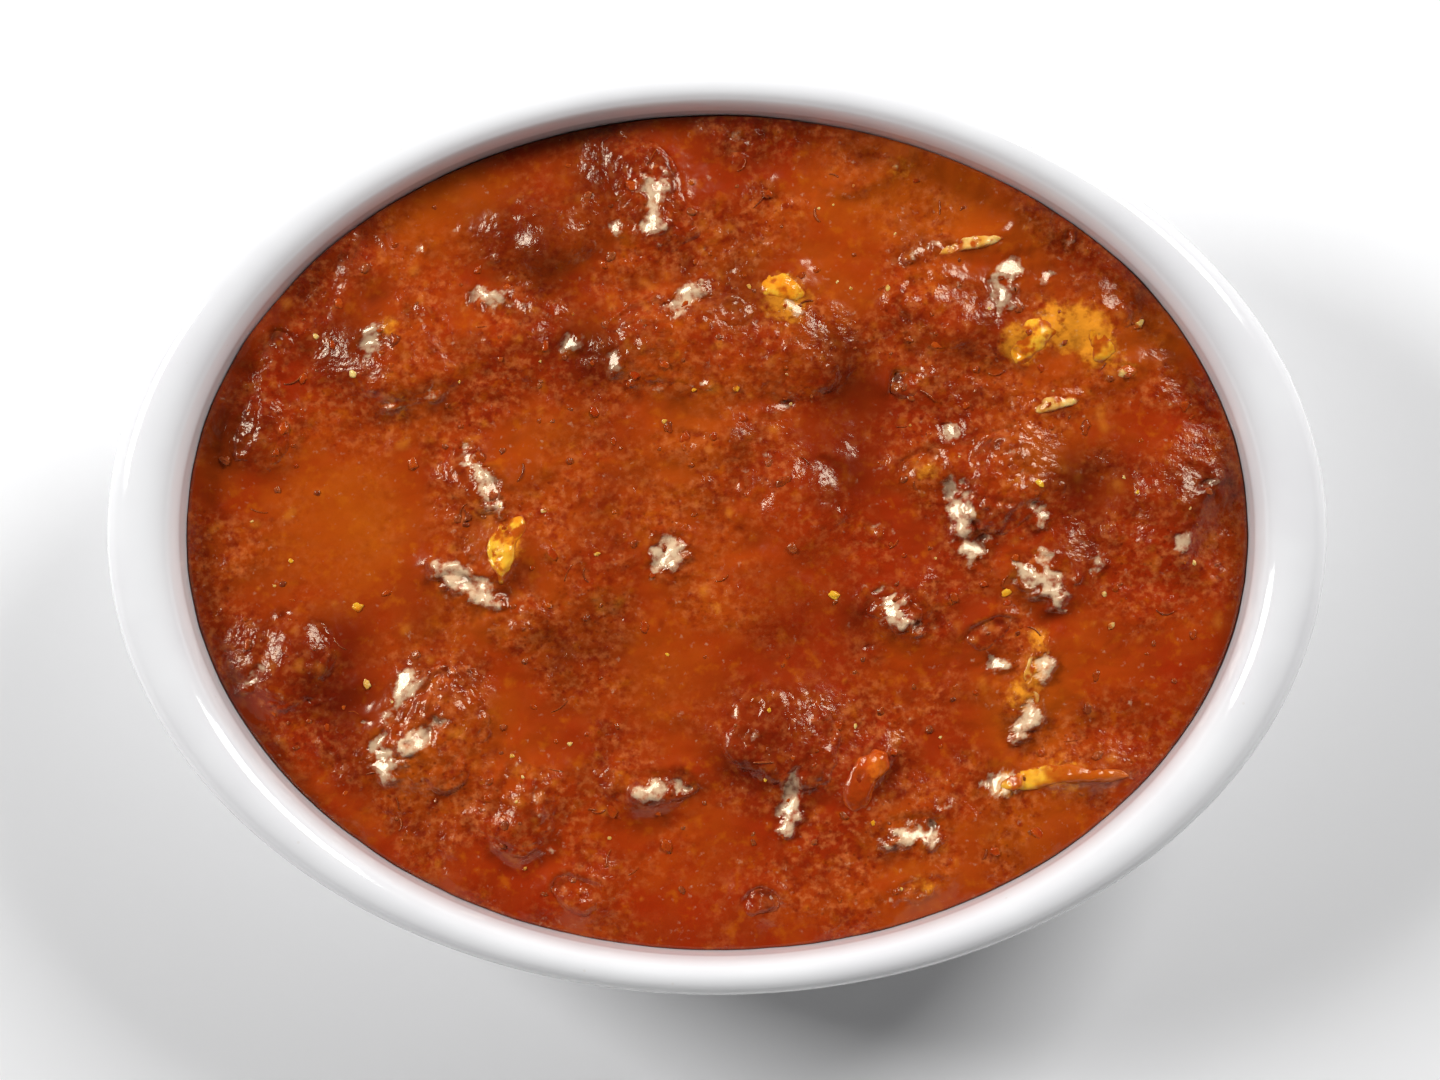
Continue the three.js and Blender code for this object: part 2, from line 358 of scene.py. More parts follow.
@dataclass
class Plan:
    """Values on an even grid over the dish, seen from above."""

    half_x: float
    half_y: float
    pitch: float
    values: np.ndarray = field(default_factory=lambda: np.zeros((0, 0)))

    def axes(self) -> tuple[np.ndarray, np.ndarray]:
        """The grid's places along its two sides.

        Returns:
            The places along X and along Y.
        """
        x = np.arange(-self.half_x, self.half_x + self.pitch, self.pitch)
        y = np.arange(-self.half_y, self.half_y + self.pitch, self.pitch)
        return x, y

    def places(self) -> tuple[np.ndarray, np.ndarray]:
        """X and Y of every place of the grid."""
        x, y = np.meshgrid(*self.axes())
        return x, y

    def flat_points(self) -> np.ndarray:
        """Every place of the grid as a point at height 0, one a row."""
        x, y = self.places()
        return np.stack([x.ravel(), y.ravel(), np.zeros(x.size)], axis=1)

    def blank(self) -> np.ndarray:
        """Zeros for every place of the grid."""
        return np.zeros_like(self.places()[0])

    def filled(self, tops: Tops) -> "Plan":
        """The same grid with the height of some tops in it.

        Args:
            tops: the tops.

        Returns:
            The new grid, with nan beside the tops.
        """
        x, y = self.places()
        return self.holding(tops.heights(x.ravel(), y.ravel()).reshape(x.shape))

    def holding(self, values: np.ndarray) -> "Plan":
        """The same grid with other values."""
        return Plan(self.half_x, self.half_y, self.pitch, values)

    def blurred(self, reach: float) -> "Plan":
        """The same grid, softened; nan is passed over.

        Args:
            reach: how far it is softened, in millimetres.

        Returns:
            The new grid.
        """
        steps = int(math.ceil(3 * reach / self.pitch))
        kernel = np.exp(-0.5 * (np.arange(-steps, steps + 1) * self.pitch / reach) ** 2)
        known = ~np.isnan(self.values)
        layers = [np.where(known, self.values, 0.0), known.astype(float)]
        for axis in (0, 1):
            layers = [
                np.apply_along_axis(np.convolve, axis, layer, kernel, "same") for layer in layers
            ]
        return self.holding(layers[0] / np.maximum(layers[1], 1e-9))

    def at(self, x: np.ndarray, y: np.ndarray) -> np.ndarray:
        """Values read between the grid's points.

        Args:
            x: places along X.
            y: places along Y.

        Returns:
            The value at each place.
        """
        rows, columns = self.values.shape
        u = np.clip((x + self.half_x) / self.pitch, 0, columns - 1.001)
        v = np.clip((y + self.half_y) / self.pitch, 0, rows - 1.001)
        i, j = u.astype(int), v.astype(int)
        s, t = u - i, v - j
        near = self.values[j, i] * (1 - s) + self.values[j, i + 1] * s
        far = self.values[j + 1, i] * (1 - s) + self.values[j + 1, i + 1] * s
        return near * (1 - t) + far * t

    def there(self, x: float, y: float) -> float:
        """The value at a single place."""
        return float(self.at(np.array([x]), np.array([y]))[0])


# ------------------------------------------------------------------------------------ materials


class Graph:
    """A short way to write a node material."""

    def __init__(self, name: str) -> None:
        """Starts a material with one Principled shader.

        Args:
            name: the material's name.
        """
        self.material = bpy.data.materials.new(name)
        self.material.use_nodes = True
        self.tree = self.material.node_tree
        self.tree.nodes.clear()
        self.shader = self.add("ShaderNodeBsdfPrincipled")
        output = self.add("ShaderNodeOutputMaterial")
        self.tree.links.new(self.shader.outputs[0], output.inputs[0])
        self.place = self.add("ShaderNodeTexCoord").outputs["Object"]

    def add(self, kind: str, **settings: object) -> bpy.types.Node:
        """Adds a node.

        Args:
            kind: the node's type.
            settings: its properties.

        Returns:
            The node.
        """
        node = self.tree.nodes.new(kind)
        for key, value in settings.items():
            setattr(node, key, value)
        return node

    def feed(self, socket: Socket, value: object) -> None:
        """Links a socket, or sets it to a number or colour.

        Args:
            socket: the input.
            value: an output to link, or what the input is set to.
        """
        if isinstance(value, Socket):
            self.tree.links.new(value, socket)
        elif isinstance(value, tuple) and socket.type == "RGBA":
            socket.default_value = (*value, 1.0)
        else:
            socket.default_value = value

    def set(self, **inputs: object) -> None:
        """Sets the shader's inputs.

        Args:
            inputs: their values, by their names with _ for a space.
        """
        for key, value in inputs.items():
            self.feed(self.shader.inputs[key.replace("_", " ")], value)

    def shifted(self, place: Socket, seed: float) -> Socket:
        """A place moved by some metres, so that each noise differs.

        Args:
            place: the place.
            seed: how far it is moved.

        Returns:
            The socket with the new place.
        """
        node = self.add("ShaderNodeVectorMath", operation="ADD")
        self.feed(node.inputs[0], place)
        node.inputs[1].default_value = (0.37 * seed, 0.71 * seed, 0.53 * seed)
        return node.outputs[0]

    def noise(
        self, size: float, detail: float = 2.0, seed: float = 0.0, place: object = None
    ) -> Socket:
        """Noise from 0 to 1.

        Args:
            size: width of its features in millimetres.
            detail: how many finer octaves it has.
            seed: which noise it is.
            place: where it is read, or None for the object's own place.

        Returns:
            The socket with its value.
        """
        node = self.add("ShaderNodeTexNoise")
        self.feed(node.inputs["Vector"], self.shifted(place or self.place, seed))
        node.inputs["Scale"].default_value = 1 / (size * MM)
        node.inputs["Detail"].default_value = detail
        node.inputs["Roughness"].default_value = 0.55
        return node.outputs[0]

    def cells(self, size: float, seed: float = 0.0) -> Socket:
        """Distance to the nearest of some scattered points.

        Args:
            size: their spacing in millimetres.
            seed: which points they are.

        Returns:
            The socket with the distance, in units of their spacing.
        """
        node = self.add("ShaderNodeTexVoronoi")
        self.feed(node.inputs["Vector"], self.shifted(self.place, seed))
        node.inputs["Scale"].default_value = 1 / (size * MM)
        return node.outputs["Distance"]

    def ramp(
        self, value: object, low: float, high: float, start: float = 0.0, end: float = 1.0
    ) -> Socket:
        """Maps one range smoothly to another, and holds beyond it.

        Args:
            value: what is mapped.
            low: where the first range starts.
            high: where it ends.
            start: what low becomes.
            end: what high becomes.

        Returns:
            The socket with the mapped value.
        """
        node = self.add("ShaderNodeMapRange", interpolation_type="SMOOTHSTEP", clamp=True)
        for index, number in enumerate((value, low, high, start, end)):
            self.feed(node.inputs[index], number)
        return node.outputs[0]

    def maths(self, operation: str, a: object, b: object) -> Socket:
        """One arithmetic step.

        Args:
            operation: its name.
            a: the first number.
            b: the second number.

        Returns:
            The socket with the result.
        """
        node = self.add("ShaderNodeMath", operation=operation)
        self.feed(node.inputs[0], a)
        self.feed(node.inputs[1], b)
        return node.outputs[0]

    def blend(self, share: object, a: object, b: object) -> Socket:
        """A mix of two colours.

        Args:
            share: how much of b there is.
            a: the colour where share is 0.
            b: the colour where share is 1.

        Returns:
            The socket with the colour.
        """
        node = self.add("ShaderNodeMix", data_type="RGBA")
        self.feed(node.inputs[0], share)
        self.feed(node.inputs[6], a)
        self.feed(node.inputs[7], b)
        return node.outputs[2]

    def stored(self, name: str) -> Socket:
        """A number stored on the mesh's vertices."""
        return self.add("ShaderNodeAttribute", attribute_name=name).outputs["Fac"]

    def gloss(self, seed: float) -> Socket:
        """Roughness of wet food, smoothest at the wet spots."""
        uneven = Mottle(2.2, 2, seed, 0.35, 0.7, 0.13, 0.22).share(self)
        return self.ramp(self.stored("wet"), 0.0, 1.0, uneven, SMOOTHEST)

    def smoothed(self, relief: object) -> Socket:
        """Fine relief that a film of fat evens out at the wet spots.

        Args:
            relief: its height from 0 to 1.

        Returns:
            The socket with the new height.
        """
        left_over = self.ramp(self.stored("wet"), 0.1, 0.8, 1.0, 0.25)
        return self.maths("MULTIPLY", relief, left_over)

    def height(self) -> Socket:
        """How high the point lies.

        Returns:
            The socket with the height in metres.
        """
        split = self.add("ShaderNodeSeparateXYZ")
        self.feed(split.inputs[0], self.place)
        return split.outputs[2]

    def bump(self, *layers: tuple[object, float]) -> Socket:
        """Fine relief.

        Args:
            layers: pairs of a height from 0 to 1 and its depth in millimetres.

        Returns:
            The socket with the new normal.
        """
        normal: object = None
        for value, depth in layers:
            node = self.add("ShaderNodeBump")
            node.inputs["Distance"].default_value = depth * MM
            self.feed(node.inputs["Height"], value)
            if normal is not None:
                self.feed(node.inputs["Normal"], normal)
            normal = node.outputs[0]
        return normal


@dataclass(frozen=True)
class Mottle:
    """Uneven patches: their size, detail and noise, and how the noise becomes a share."""

    size: float
    detail: float
    seed: float
    low: float
    high: float
    least: float = 0.0
    most: float = 1.0

    def share(self, graph: Graph) -> Socket:
        """How much of the patches there is at each point."""
        noise = graph.noise(self.size, self.detail, self.seed)
        return graph.ramp(noise, self.low, self.high, self.least, self.most)


@dataclass(frozen=True)
class SauceColours:
    """The colours that the whole stew shares, and the patches that they lie in."""

    orange: Colour = (0.41, 0.053, 0.0035)
    brown: Colour = (0.305, 0.028, 0.003)
    red: Colour = (0.335, 0.0195, 0.002)
    # The dark colour below serves random dark patches and specks, and is also the colour of painted
    # shade.
    dark: Colour = (0.06, 0.0035, 0.001)
    oil: Colour = (0.50, 0.10, 0.004)
    # The pale cream below serves random flecks of fat, and the painted highlight laid on the wet spots.
    fat_and_painted_highlight: Colour = (0.84, 0.62, 0.38)
    gold: Colour = (0.93, 0.33, 0.022)
    light_crumb: Colour = (0.62, 0.17, 0.015)
    dark_crumb: Colour = (0.19, 0.016, 0.002)
    light_grain: Colour = (0.59, 0.145, 0.034)
    dark_grain: Colour = (0.23, 0.013, 0.002)

    broad: Mottle = Mottle(24, 2, 1.7, 0.38, 0.62)
    red_patches: Mottle = Mottle(6.5, 3, 4.1, 0.4, 0.68, most=0.7)
    oil_film: Mottle = Mottle(2.6, 3, 8.8, 0.52, 0.74, most=0.6)
    pale_grains: Mottle = Mottle(1.3, 4, 2.6, 0.44, 0.72, most=0.8)
    dark_grains: Mottle = Mottle(1.7, 4, 3.9, 0.46, 0.72, most=0.85)
    gloom: Mottle = Mottle(7.0, 2, 6.3, 0.48, 0.7, most=0.35)
    oil_and_painted_light_share: float = 0.6
    painted_highlight_share: float = 0.4

    def mixed(self, graph: Graph) -> Socket:
        """The sauce's uneven colour, from broad patches to single crumbs.

        Args:
            graph: the material that it is for.

        Returns:
            The socket with the colour.
        """
        tint = graph.blend(self.broad.share(graph), self.orange, self.brown)
        red = graph.maths("MAXIMUM", self.red_patches.share(graph), graph.stored("ruddy"))
        tint = graph.blend(red, tint, self.red)
        tint = graph.blend(self.oil_film.share(graph), tint, self.oil)
        # Oil and painted light: the listed warm places are made oilier and lighter orange; some of them
        # stand in for light where shade falls.
        warmth = graph.maths("MULTIPLY", graph.stored("oil_and_painted_light"), self.oil_and_painted_light_share)
        tint = graph.blend(warmth, tint, self.oil)
        crumb = graph.stored("crumb")
        tint = graph.blend(graph.ramp(crumb, 0.1, 1.0, 0.0, 0.75), tint, self.light_crumb)
        tint = graph.blend(graph.ramp(crumb, -0.1, -1.0, 0.0, 0.7), tint, self.dark_crumb)
        grain = graph.stored("grain")
        pale = graph.maths("MULTIPLY", grain, self.pale_grains.share(graph))
        tint = graph.blend(pale, tint, self.light_grain)
        tint = self._with_gold(graph, tint)
        specks = graph.ramp(graph.cells(1.3, 2.2), 0.1, 0.26, 0.35, 0.0)
        for share, colour in (
            (self.dark_grains.share(graph), self.dark_grain),
            (self.gloom.share(graph), self.dark),
            (specks, self.dark),
        ):
            tint = graph.blend(graph.maths("MULTIPLY", grain, share), tint, colour)
        return self._with_fat_and_painted_highlight(graph, tint)

    def _with_gold(self, graph: Graph, tint: object) -> Socket:
        """Lays ragged skins of golden fat over a colour.

        Args:
            graph: the material.
            tint: the colour under them.

        Returns:
            The socket with the new colour.
        """
        rich = graph.maths("ADD", graph.stored("golden"), graph.noise(1.8, 4, 5.6))
        return graph.blend(graph.ramp(rich, 0.86, 1.32, 0.0, 0.95), tint, self.gold)

    def _with_fat_and_painted_highlight(self, graph: Graph, tint: object) -> Socket:
        """Paints pale cream over the wet spots as painted highlight, with a few random pale flecks of
        fat elsewhere.

        Args:
            graph: the material.
            tint: the colour under them.

        Returns:
            The socket with the new colour.
        """
        # Painted highlight: pale cream at the wet spots, beside the random flecks.
        flecks = graph.maths("MULTIPLY", graph.stored("wet"), self.painted_highlight_share)
        flecks = graph.maths("ADD", graph.noise(1.3, 3, 9.5), flecks)
        return graph.blend(graph.ramp(flecks, 0.62, 1.02, 0.0, 0.85), tint, self.fat_and_painted_highlight)


@dataclass(frozen=True)
class Glaze:
    """Glossy white glaze over stoneware, bare on the foot ring."""

    white: Colour = (0.83, 0.83, 0.84)
    cool: Colour = (0.79, 0.785, 0.80)
    bare: Colour = (0.62, 0.55, 0.46)
    clouds: Mottle = Mottle(22, 3, 3.0, 0.35, 0.7)
    sheen: Mottle = Mottle(9, 2, 6.0, 0.3, 0.7, 0.07, 0.13)
    foot_top: float = 0.8

    def material(self) -> bpy.types.Material:
        """Builds the material.

        Returns:
            The material.
        """
        graph = Graph("white_glaze")
        body = graph.blend(self.clouds.share(graph), self.white, self.cool)
        pin_holes = graph.ramp(graph.cells(5.5, 1.1), 0.02, 0.06, 0.25, 0.0)
        body = graph.blend(pin_holes, body, self.bare)
        foot = graph.ramp(graph.height(), 0.35 * MM, self.foot_top * MM, 1.0, 0.0)
        grain = graph.noise(0.6, 3, 5.0)
        colour = graph.blend(foot, body, graph.blend(grain, self.bare, self.cool))
        rough = graph.maths("ADD", self.sheen.share(graph), graph.maths("MULTIPLY", foot, 0.6))
        peel = graph.noise(4.5, 2, 7.0)
        graph.set(
            Base_Color=colour,
            Roughness=rough,
            IOR=1.5,
            Normal=graph.bump((peel, 0.035), (graph.maths("MULTIPLY", grain, foot), 0.12)),
        )
        graph.set(Coat_Weight=0.5, Coat_Roughness=0.04)
        return graph.material


@dataclass(frozen=True)
class SauceFinish:
    """Thick wet sauce with pulp and oil in it."""

    colours: SauceColours = SauceColours()
    shading: float = 0.85

    def material(self) -> bpy.types.Material:
        """Builds the material.

        Returns:
            The material.
        """
        graph = Graph("chili_sauce")
        tint = self.colours.mixed(graph)
        # Painted shade: the sauce is darkened in its hollows, in the listed dark places, along its
        # lower border and round the wet spots.
        shade = graph.maths("MAXIMUM", graph.stored("painted_hollow_shade"), graph.stored("tone_and_painted_shade"))
        tint = graph.blend(graph.maths("MULTIPLY", shade, self.shading), tint, self.colours.dark)
        grit = graph.maths("MULTIPLY", graph.noise(1.1, 3, 11.0), graph.stored("grain"))
        pulp = graph.noise(3.2, 2, 12.0)
        graph.set(
            Base_Color=tint,
            Roughness=graph.gloss(13.0),
            IOR=WET_IOR,
            Normal=graph.bump((graph.smoothed(pulp), 0.2), (graph.smoothed(grit), 0.22)),
        )
        graph.set(Specular_IOR_Level=WET_SPECULAR, Specular_Tint=WET_TINT)
        return graph.material


@dataclass(frozen=True)
class BeefFinish:
    """Braised beef: fibres that show through a wet coat of sauce."""

    colours: SauceColours = SauceColours()
    flesh: Colour = (0.25, 0.032, 0.006)
    fibre: Colour = (0.43, 0.10, 0.022)
    crevice_shade: Colour = (0.05, 0.004, 0.001)
    shading: float = 0.85
    fibre_stretch: float = 0.13

    def material(self) -> bpy.types.Material:
        """Builds the material.

        Returns:
            The material.
        """
        graph = Graph("braised_beef")
        coat = self.colours.mixed(graph)
        lines = graph.add("ShaderNodeCombineXYZ")
        drawn_out = graph.maths("MULTIPLY", graph.stored("along"), self.fibre_stretch)
        graph.feed(lines.inputs[0], drawn_out)
        graph.feed(lines.inputs[1], graph.stored("across"))
        graph.feed(lines.inputs[2], graph.stored("upward"))
        threads = graph.noise(0.75, 2, 21.0, lines.outputs[0])
        meat = graph.blend(graph.ramp(threads, 0.4, 0.68), self.flesh, self.fibre)
        tint = graph.blend(graph.stored("bare"), coat, meat)
        # Painted shade: the coat is darkened like the sauce round it, together with the chunk's own
        # darker tone.
        shade = graph.maths("MAXIMUM", graph.stored("tone_and_painted_shade"), graph.stored("painted_hollow_shade"))
        tint = graph.blend(graph.maths("MULTIPLY", shade, self.shading), tint, self.colours.dark)
        # Painted shade: the grooves between the fibre bundles are darkened.
        groove = graph.ramp(graph.stored("groove"), 0.1, 1.0, 0.0, 0.6)
        tint = graph.blend(groove, tint, self.crevice_shade)
        graph.set(
            Base_Color=tint,
            Roughness=graph.gloss(23.0),
            IOR=WET_IOR,
            Normal=graph.bump(
                (graph.smoothed(graph.noise(1.4, 3, 24.0)), 0.26),
                (graph.maths("MULTIPLY", threads, graph.stored("bare")), 0.18),
            ),
        )
        graph.set(Specular_IOR_Level=WET_SPECULAR, Specular_Tint=WET_TINT)
        return graph.material


@dataclass(frozen=True)
class VegetableFinish:
    """Soft stewed pepper or onion, stained by the sauce."""

    name: str
    pale: Colour
    deep: Colour
    stain: Colour
    cover: float
    patches: Mottle = Mottle(3.4, 2, 31.0, 0.38, 0.64)
    veins: Mottle = Mottle(1.1, 4, 32.0, 0.46, 0.7, most=0.45)

    def material(self) -> bpy.types.Material:
        """Builds the material.

        Returns:
            The material.
        """
        graph = Graph(self.name)
        flesh = graph.blend(self.patches.share(graph), self.pale, self.deep)
        flesh = graph.blend(self.veins.share(graph), flesh, self.deep)
        clots = Mottle(4.2, 4, 33.0, 0.62 - self.cover, 0.72 - self.cover).share(graph)
        low = graph.ramp(graph.stored("sunk"), 0.0, 1.0)
        tint = graph.blend(graph.maths("MAXIMUM", clots, low), flesh, self.stain)
        graph.set(
            Base_Color=tint,
            Roughness=graph.gloss(34.0),
            IOR=WET_IOR,
            Normal=graph.bump((graph.noise(1.4, 3, 35.0), 0.18)),
        )
        graph.set(Specular_IOR_Level=WET_SPECULAR, Specular_Tint=WET_TINT)
        graph.set(Subsurface_Weight=0.3, Subsurface_Scale=2.0 * MM)
        graph.set(Subsurface_Radius=(1.0, 0.5, 0.12))
        return graph.material


YELLOW_PEPPER = VegetableFinish(
    "yellow_pepper", (0.95, 0.5, 0.04), (0.85, 0.29, 0.012), (0.5, 0.085, 0.005), 0.09
)
RED_PEPPER = VegetableFinish(
    "red_pepper", (0.66, 0.14, 0.01), (0.5, 0.06, 0.005), (0.38, 0.045, 0.004), 0.18
)
ONION = VegetableFinish(
    "onion", (0.88, 0.58, 0.2), (0.74, 0.32, 0.04), (0.46, 0.075, 0.006), 0.12
)
CRUMB = VegetableFinish(
    "meat_crumb", (0.36, 0.075, 0.018), (0.2, 0.03, 0.007), (0.34, 0.045, 0.004), 0.14
)
PULP = VegetableFinish(
    "tomato_pulp", (0.46, 0.065, 0.006), (0.37, 0.035, 0.003), (0.36, 0.045, 0.004), 0.08
)


@dataclass(frozen=True)
class PaleFloor:
    """A plain pale surface to stand on."""

    tint: Colour = (0.93, 0.93, 0.935)
    wear: Mottle = Mottle(60, 2, 0.0, 0.3, 0.7, 0.6, 0.7)

    def material(self) -> bpy.types.Material:
        """Builds the material.

        Returns:
            The material.
        """
        graph = Graph("pale_floor")
        graph.set(Base_Color=self.tint, Roughness=self.wear.share(graph))
        return graph.material


# ------------------------------------------------------------------------------------ dish


@dataclass
class OvalDish:
    """The dish: foot ring, steep wall and rolled rim, turned as one oval."""

    length: float
    width: float
    height: float
    mouth_length: float = 177.4
    mouth_width: float = 139.4
    floor: float = 5.4
    foot_radius: float = 70.0
    foot_ring: float = 6.0
    recess: float = 1.2
    segments: int = 300
    steps: int = 5

    def side_radius(self, radius: np.ndarray) -> np.ndarray:
        """Half the width of an oval of the dish.

        Args:
            radius: half the oval's length.

        Returns:
            Half its width.
        """
        mouth = self.mouth_length / 2
        inner = radius * (self.mouth_width / self.mouth_length)
        share = (radius - mouth) / (self.length / 2 - mouth)
        outer = self.mouth_width / 2 + share * (self.width - self.mouth_width) / 2
        return np.where(radius <= mouth, inner, outer)

    def inside(self) -> Section:
        """Inside of the dish, from its floor up to the mouth.

        Returns:
            Points as (radius, height).
        """
        floor = self.floor
        return [
            (0, floor), (30, floor + 0.02), (60, floor + 0.2), (70, floor + 2.6),
            (77.5, floor + 7.4), (82.6, floor + 14.2), (86, floor + 23), (87.6, floor + 30),
            (88.3, floor + 36),
        ]

    def outside(self) -> Section:
        """Outside of the wall, from the foot ring up to the rim.

        Returns:
            Points as (radius, height).
        """
        foot, top = self.foot_radius, self.height
        return [
            (foot + 2, 0.9), (foot + 9, 5.6), (foot + 15.6, 14.2), (foot + 20, 25),
            (foot + 23, 38), (foot + 24.6, top - 6.2),
        ]

    def rim(self) -> Section:
        """The rolled rim, from under its outer edge over the top to the mouth.

        Returns:
            Points as (radius, height).
        """
        edge, mouth, top = self.length / 2, self.mouth_length / 2, self.height
        return [
            (edge - 1.6, top - 5.4), (edge - 0.2, top - 4), (edge, top - 3),
            (edge - 0.7, top - 1.6), (edge - 2.6, top - 0.4), (edge - 5.2, top),
            (mouth + 3.6, top - 0.4), (mouth + 1.4, top - 1.7), (mouth, top - 4),
        ]

    def foot(self) -> Section:
        """The underside: a shallow recess and the flat ring round it.

        Returns:
            Points as (radius, height).
        """
        ring_inner = self.foot_radius - self.foot_ring
        return [
            (0, self.recess), (ring_inner - 1.2, self.recess), (ring_inner - 0.2, 0.12),
            (ring_inner + 0.3, 0.0), (self.foot_radius - 0.4, 0.0),
            (self.foot_radius + 0.3, 0.06),
        ]

    def curved(self, points: Section) -> np.ndarray:
        """A smooth line through points, with steps between each two of them.

        Args:
            points: what the line runs through.

        Returns:
            The line's points, one row each.
        """
        knots = np.array([points[0], *points, points[-1]], float)
        parts = []
        for a, b, c, d in zip(knots, knots[1:], knots[2:], knots[3:]):
            for t in np.arange(self.steps) / self.steps:
                turn = (c - a) * t + (2 * a - 5 * b + 4 * c - d) * t**2
                parts.append(b + 0.5 * (turn + (3 * b - a - 3 * c + d) * t**3))
        return np.array([*parts, knots[-1]])

    def profile(self) -> np.ndarray:
        """The whole section of the dish, closed on its axis at both ends.

        Returns:
            Points as (radius, height), one row each.
        """
        shell = self.curved([*self.outside(), *self.rim(), *self.inside()[::-1]])
        line = np.vstack([np.array(self.foot(), float), shell])
        line[:, 1] = np.clip(line[:, 1], 0, self.height)
        line[:, 0] = np.clip(line[:, 0], 0, self.length / 2)
        return line

    def build(self, finish: Glaze) -> bpy.types.Object:
        """Turns the section into the oval dish.

        Args:
            finish: the dish's glaze.

        Returns:
            The dish.
        """
        line = self.profile()[1:-1]
        angles = np.arange(self.segments) * (2 * math.pi / self.segments)
        radius = line[:, 0][:, None]
        x = radius * np.cos(angles)
        y = self.side_radius(radius) * np.sin(angles)
        z = np.broadcast_to(line[:, 1][:, None], x.shape)
        ends = np.array([[0, 0, self.recess], [0, 0, self.floor]])
        points = np.vstack([np.stack([x, y, z], axis=-1).reshape(-1, 3), ends])
        dish = mesh_object("dish_glazed", points, self._faces(len(line)), finish.material())
        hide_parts("dish")
        return dish

    def _faces(self, rings: int) -> Faces:
        """Faces between the rings, and the fans that close the two ends.

        Args:
            rings: how many rings the dish has.

        Returns:
            The corners of each face.
        """
        count = self.segments
        faces: Faces = []
        for ring in range(rings - 1):
            low, high = ring * count, (ring + 1) * count
            for i in range(count):
                j = (i + 1) % count
                faces.append((low + i, low + j, high + j, high + i))
        last = (rings - 1) * count
        for i in range(count):
            j = (i + 1) % count
            faces.append((rings * count, j, i))
            faces.append((rings * count + 1, last + i, last + j))
        return faces


# ------------------------------------------------------------------------------------ stew


class Side(Enum):
    """Where a lamp stands."""

    LEFT = "left"
    RIGHT = "right"


LAMP_PLACES = {Side.LEFT: (-800.0, 290.0, 730.0), Side.RIGHT: (630.0, 690.0, 790.0)}
EYE = (0.5, -1.1, 701.0)


def unit(vectors: np.ndarray) -> np.ndarray:
    """The vectors, one a row, at length 1."""
    return vectors / np.linalg.norm(vectors, axis=-1, keepdims=True)


def slope_towards(side: Side, places: np.ndarray) -> np.ndarray:
    """Fall of a facet that shows a lamp to the eye.

    Args:
        side: which lamp it is.
        places: where the facet lies, one place a row, in millimetres.

    Returns:
        The fall along X and along Y at each place.
    """
    half = unit(np.array(LAMP_PLACES[side]) - places) + unit(np.array(EYE) - places)
    return half[..., :2] / half[..., 2:]


@dataclass(frozen=True)
class WetSpot:
    """A place where a wet lump shows a lamp to the eye; its turn is in degrees."""

    x: float
    y: float
    length: float
    width: float
    turn: float
    side: Side = Side.LEFT

    def window(
        self, x: np.ndarray, y: np.ndarray, margin: float, uneven: np.ndarray
    ) -> np.ndarray:
        """How much each place belongs to the spot.

        Args:
            x: places along X.
            y: places along Y.
            margin: how far the spot reaches beyond its length and width.
            uneven: how ragged its edge is at each place.

        Returns:
            1 within the spot, 0 well outside it.
        """
        turn = math.radians(self.turn)
        u = (x - self.x) * math.cos(turn) + (y - self.y) * math.sin(turn)
        v = (y - self.y) * math.cos(turn) - (x - self.x) * math.sin(turn)
        away = np.hypot(u / (self.length / 2 + margin), v / (self.width / 2 + margin))
        return 1 - smooth_step(away + uneven, 0.75, 1.2)

    def strength(self) -> float:
        """How plainly the spot shows, from 0 for a narrow one to 1 for a broad one."""
        return float(smooth_step(np.array(self.width), 0.9, 2.2))


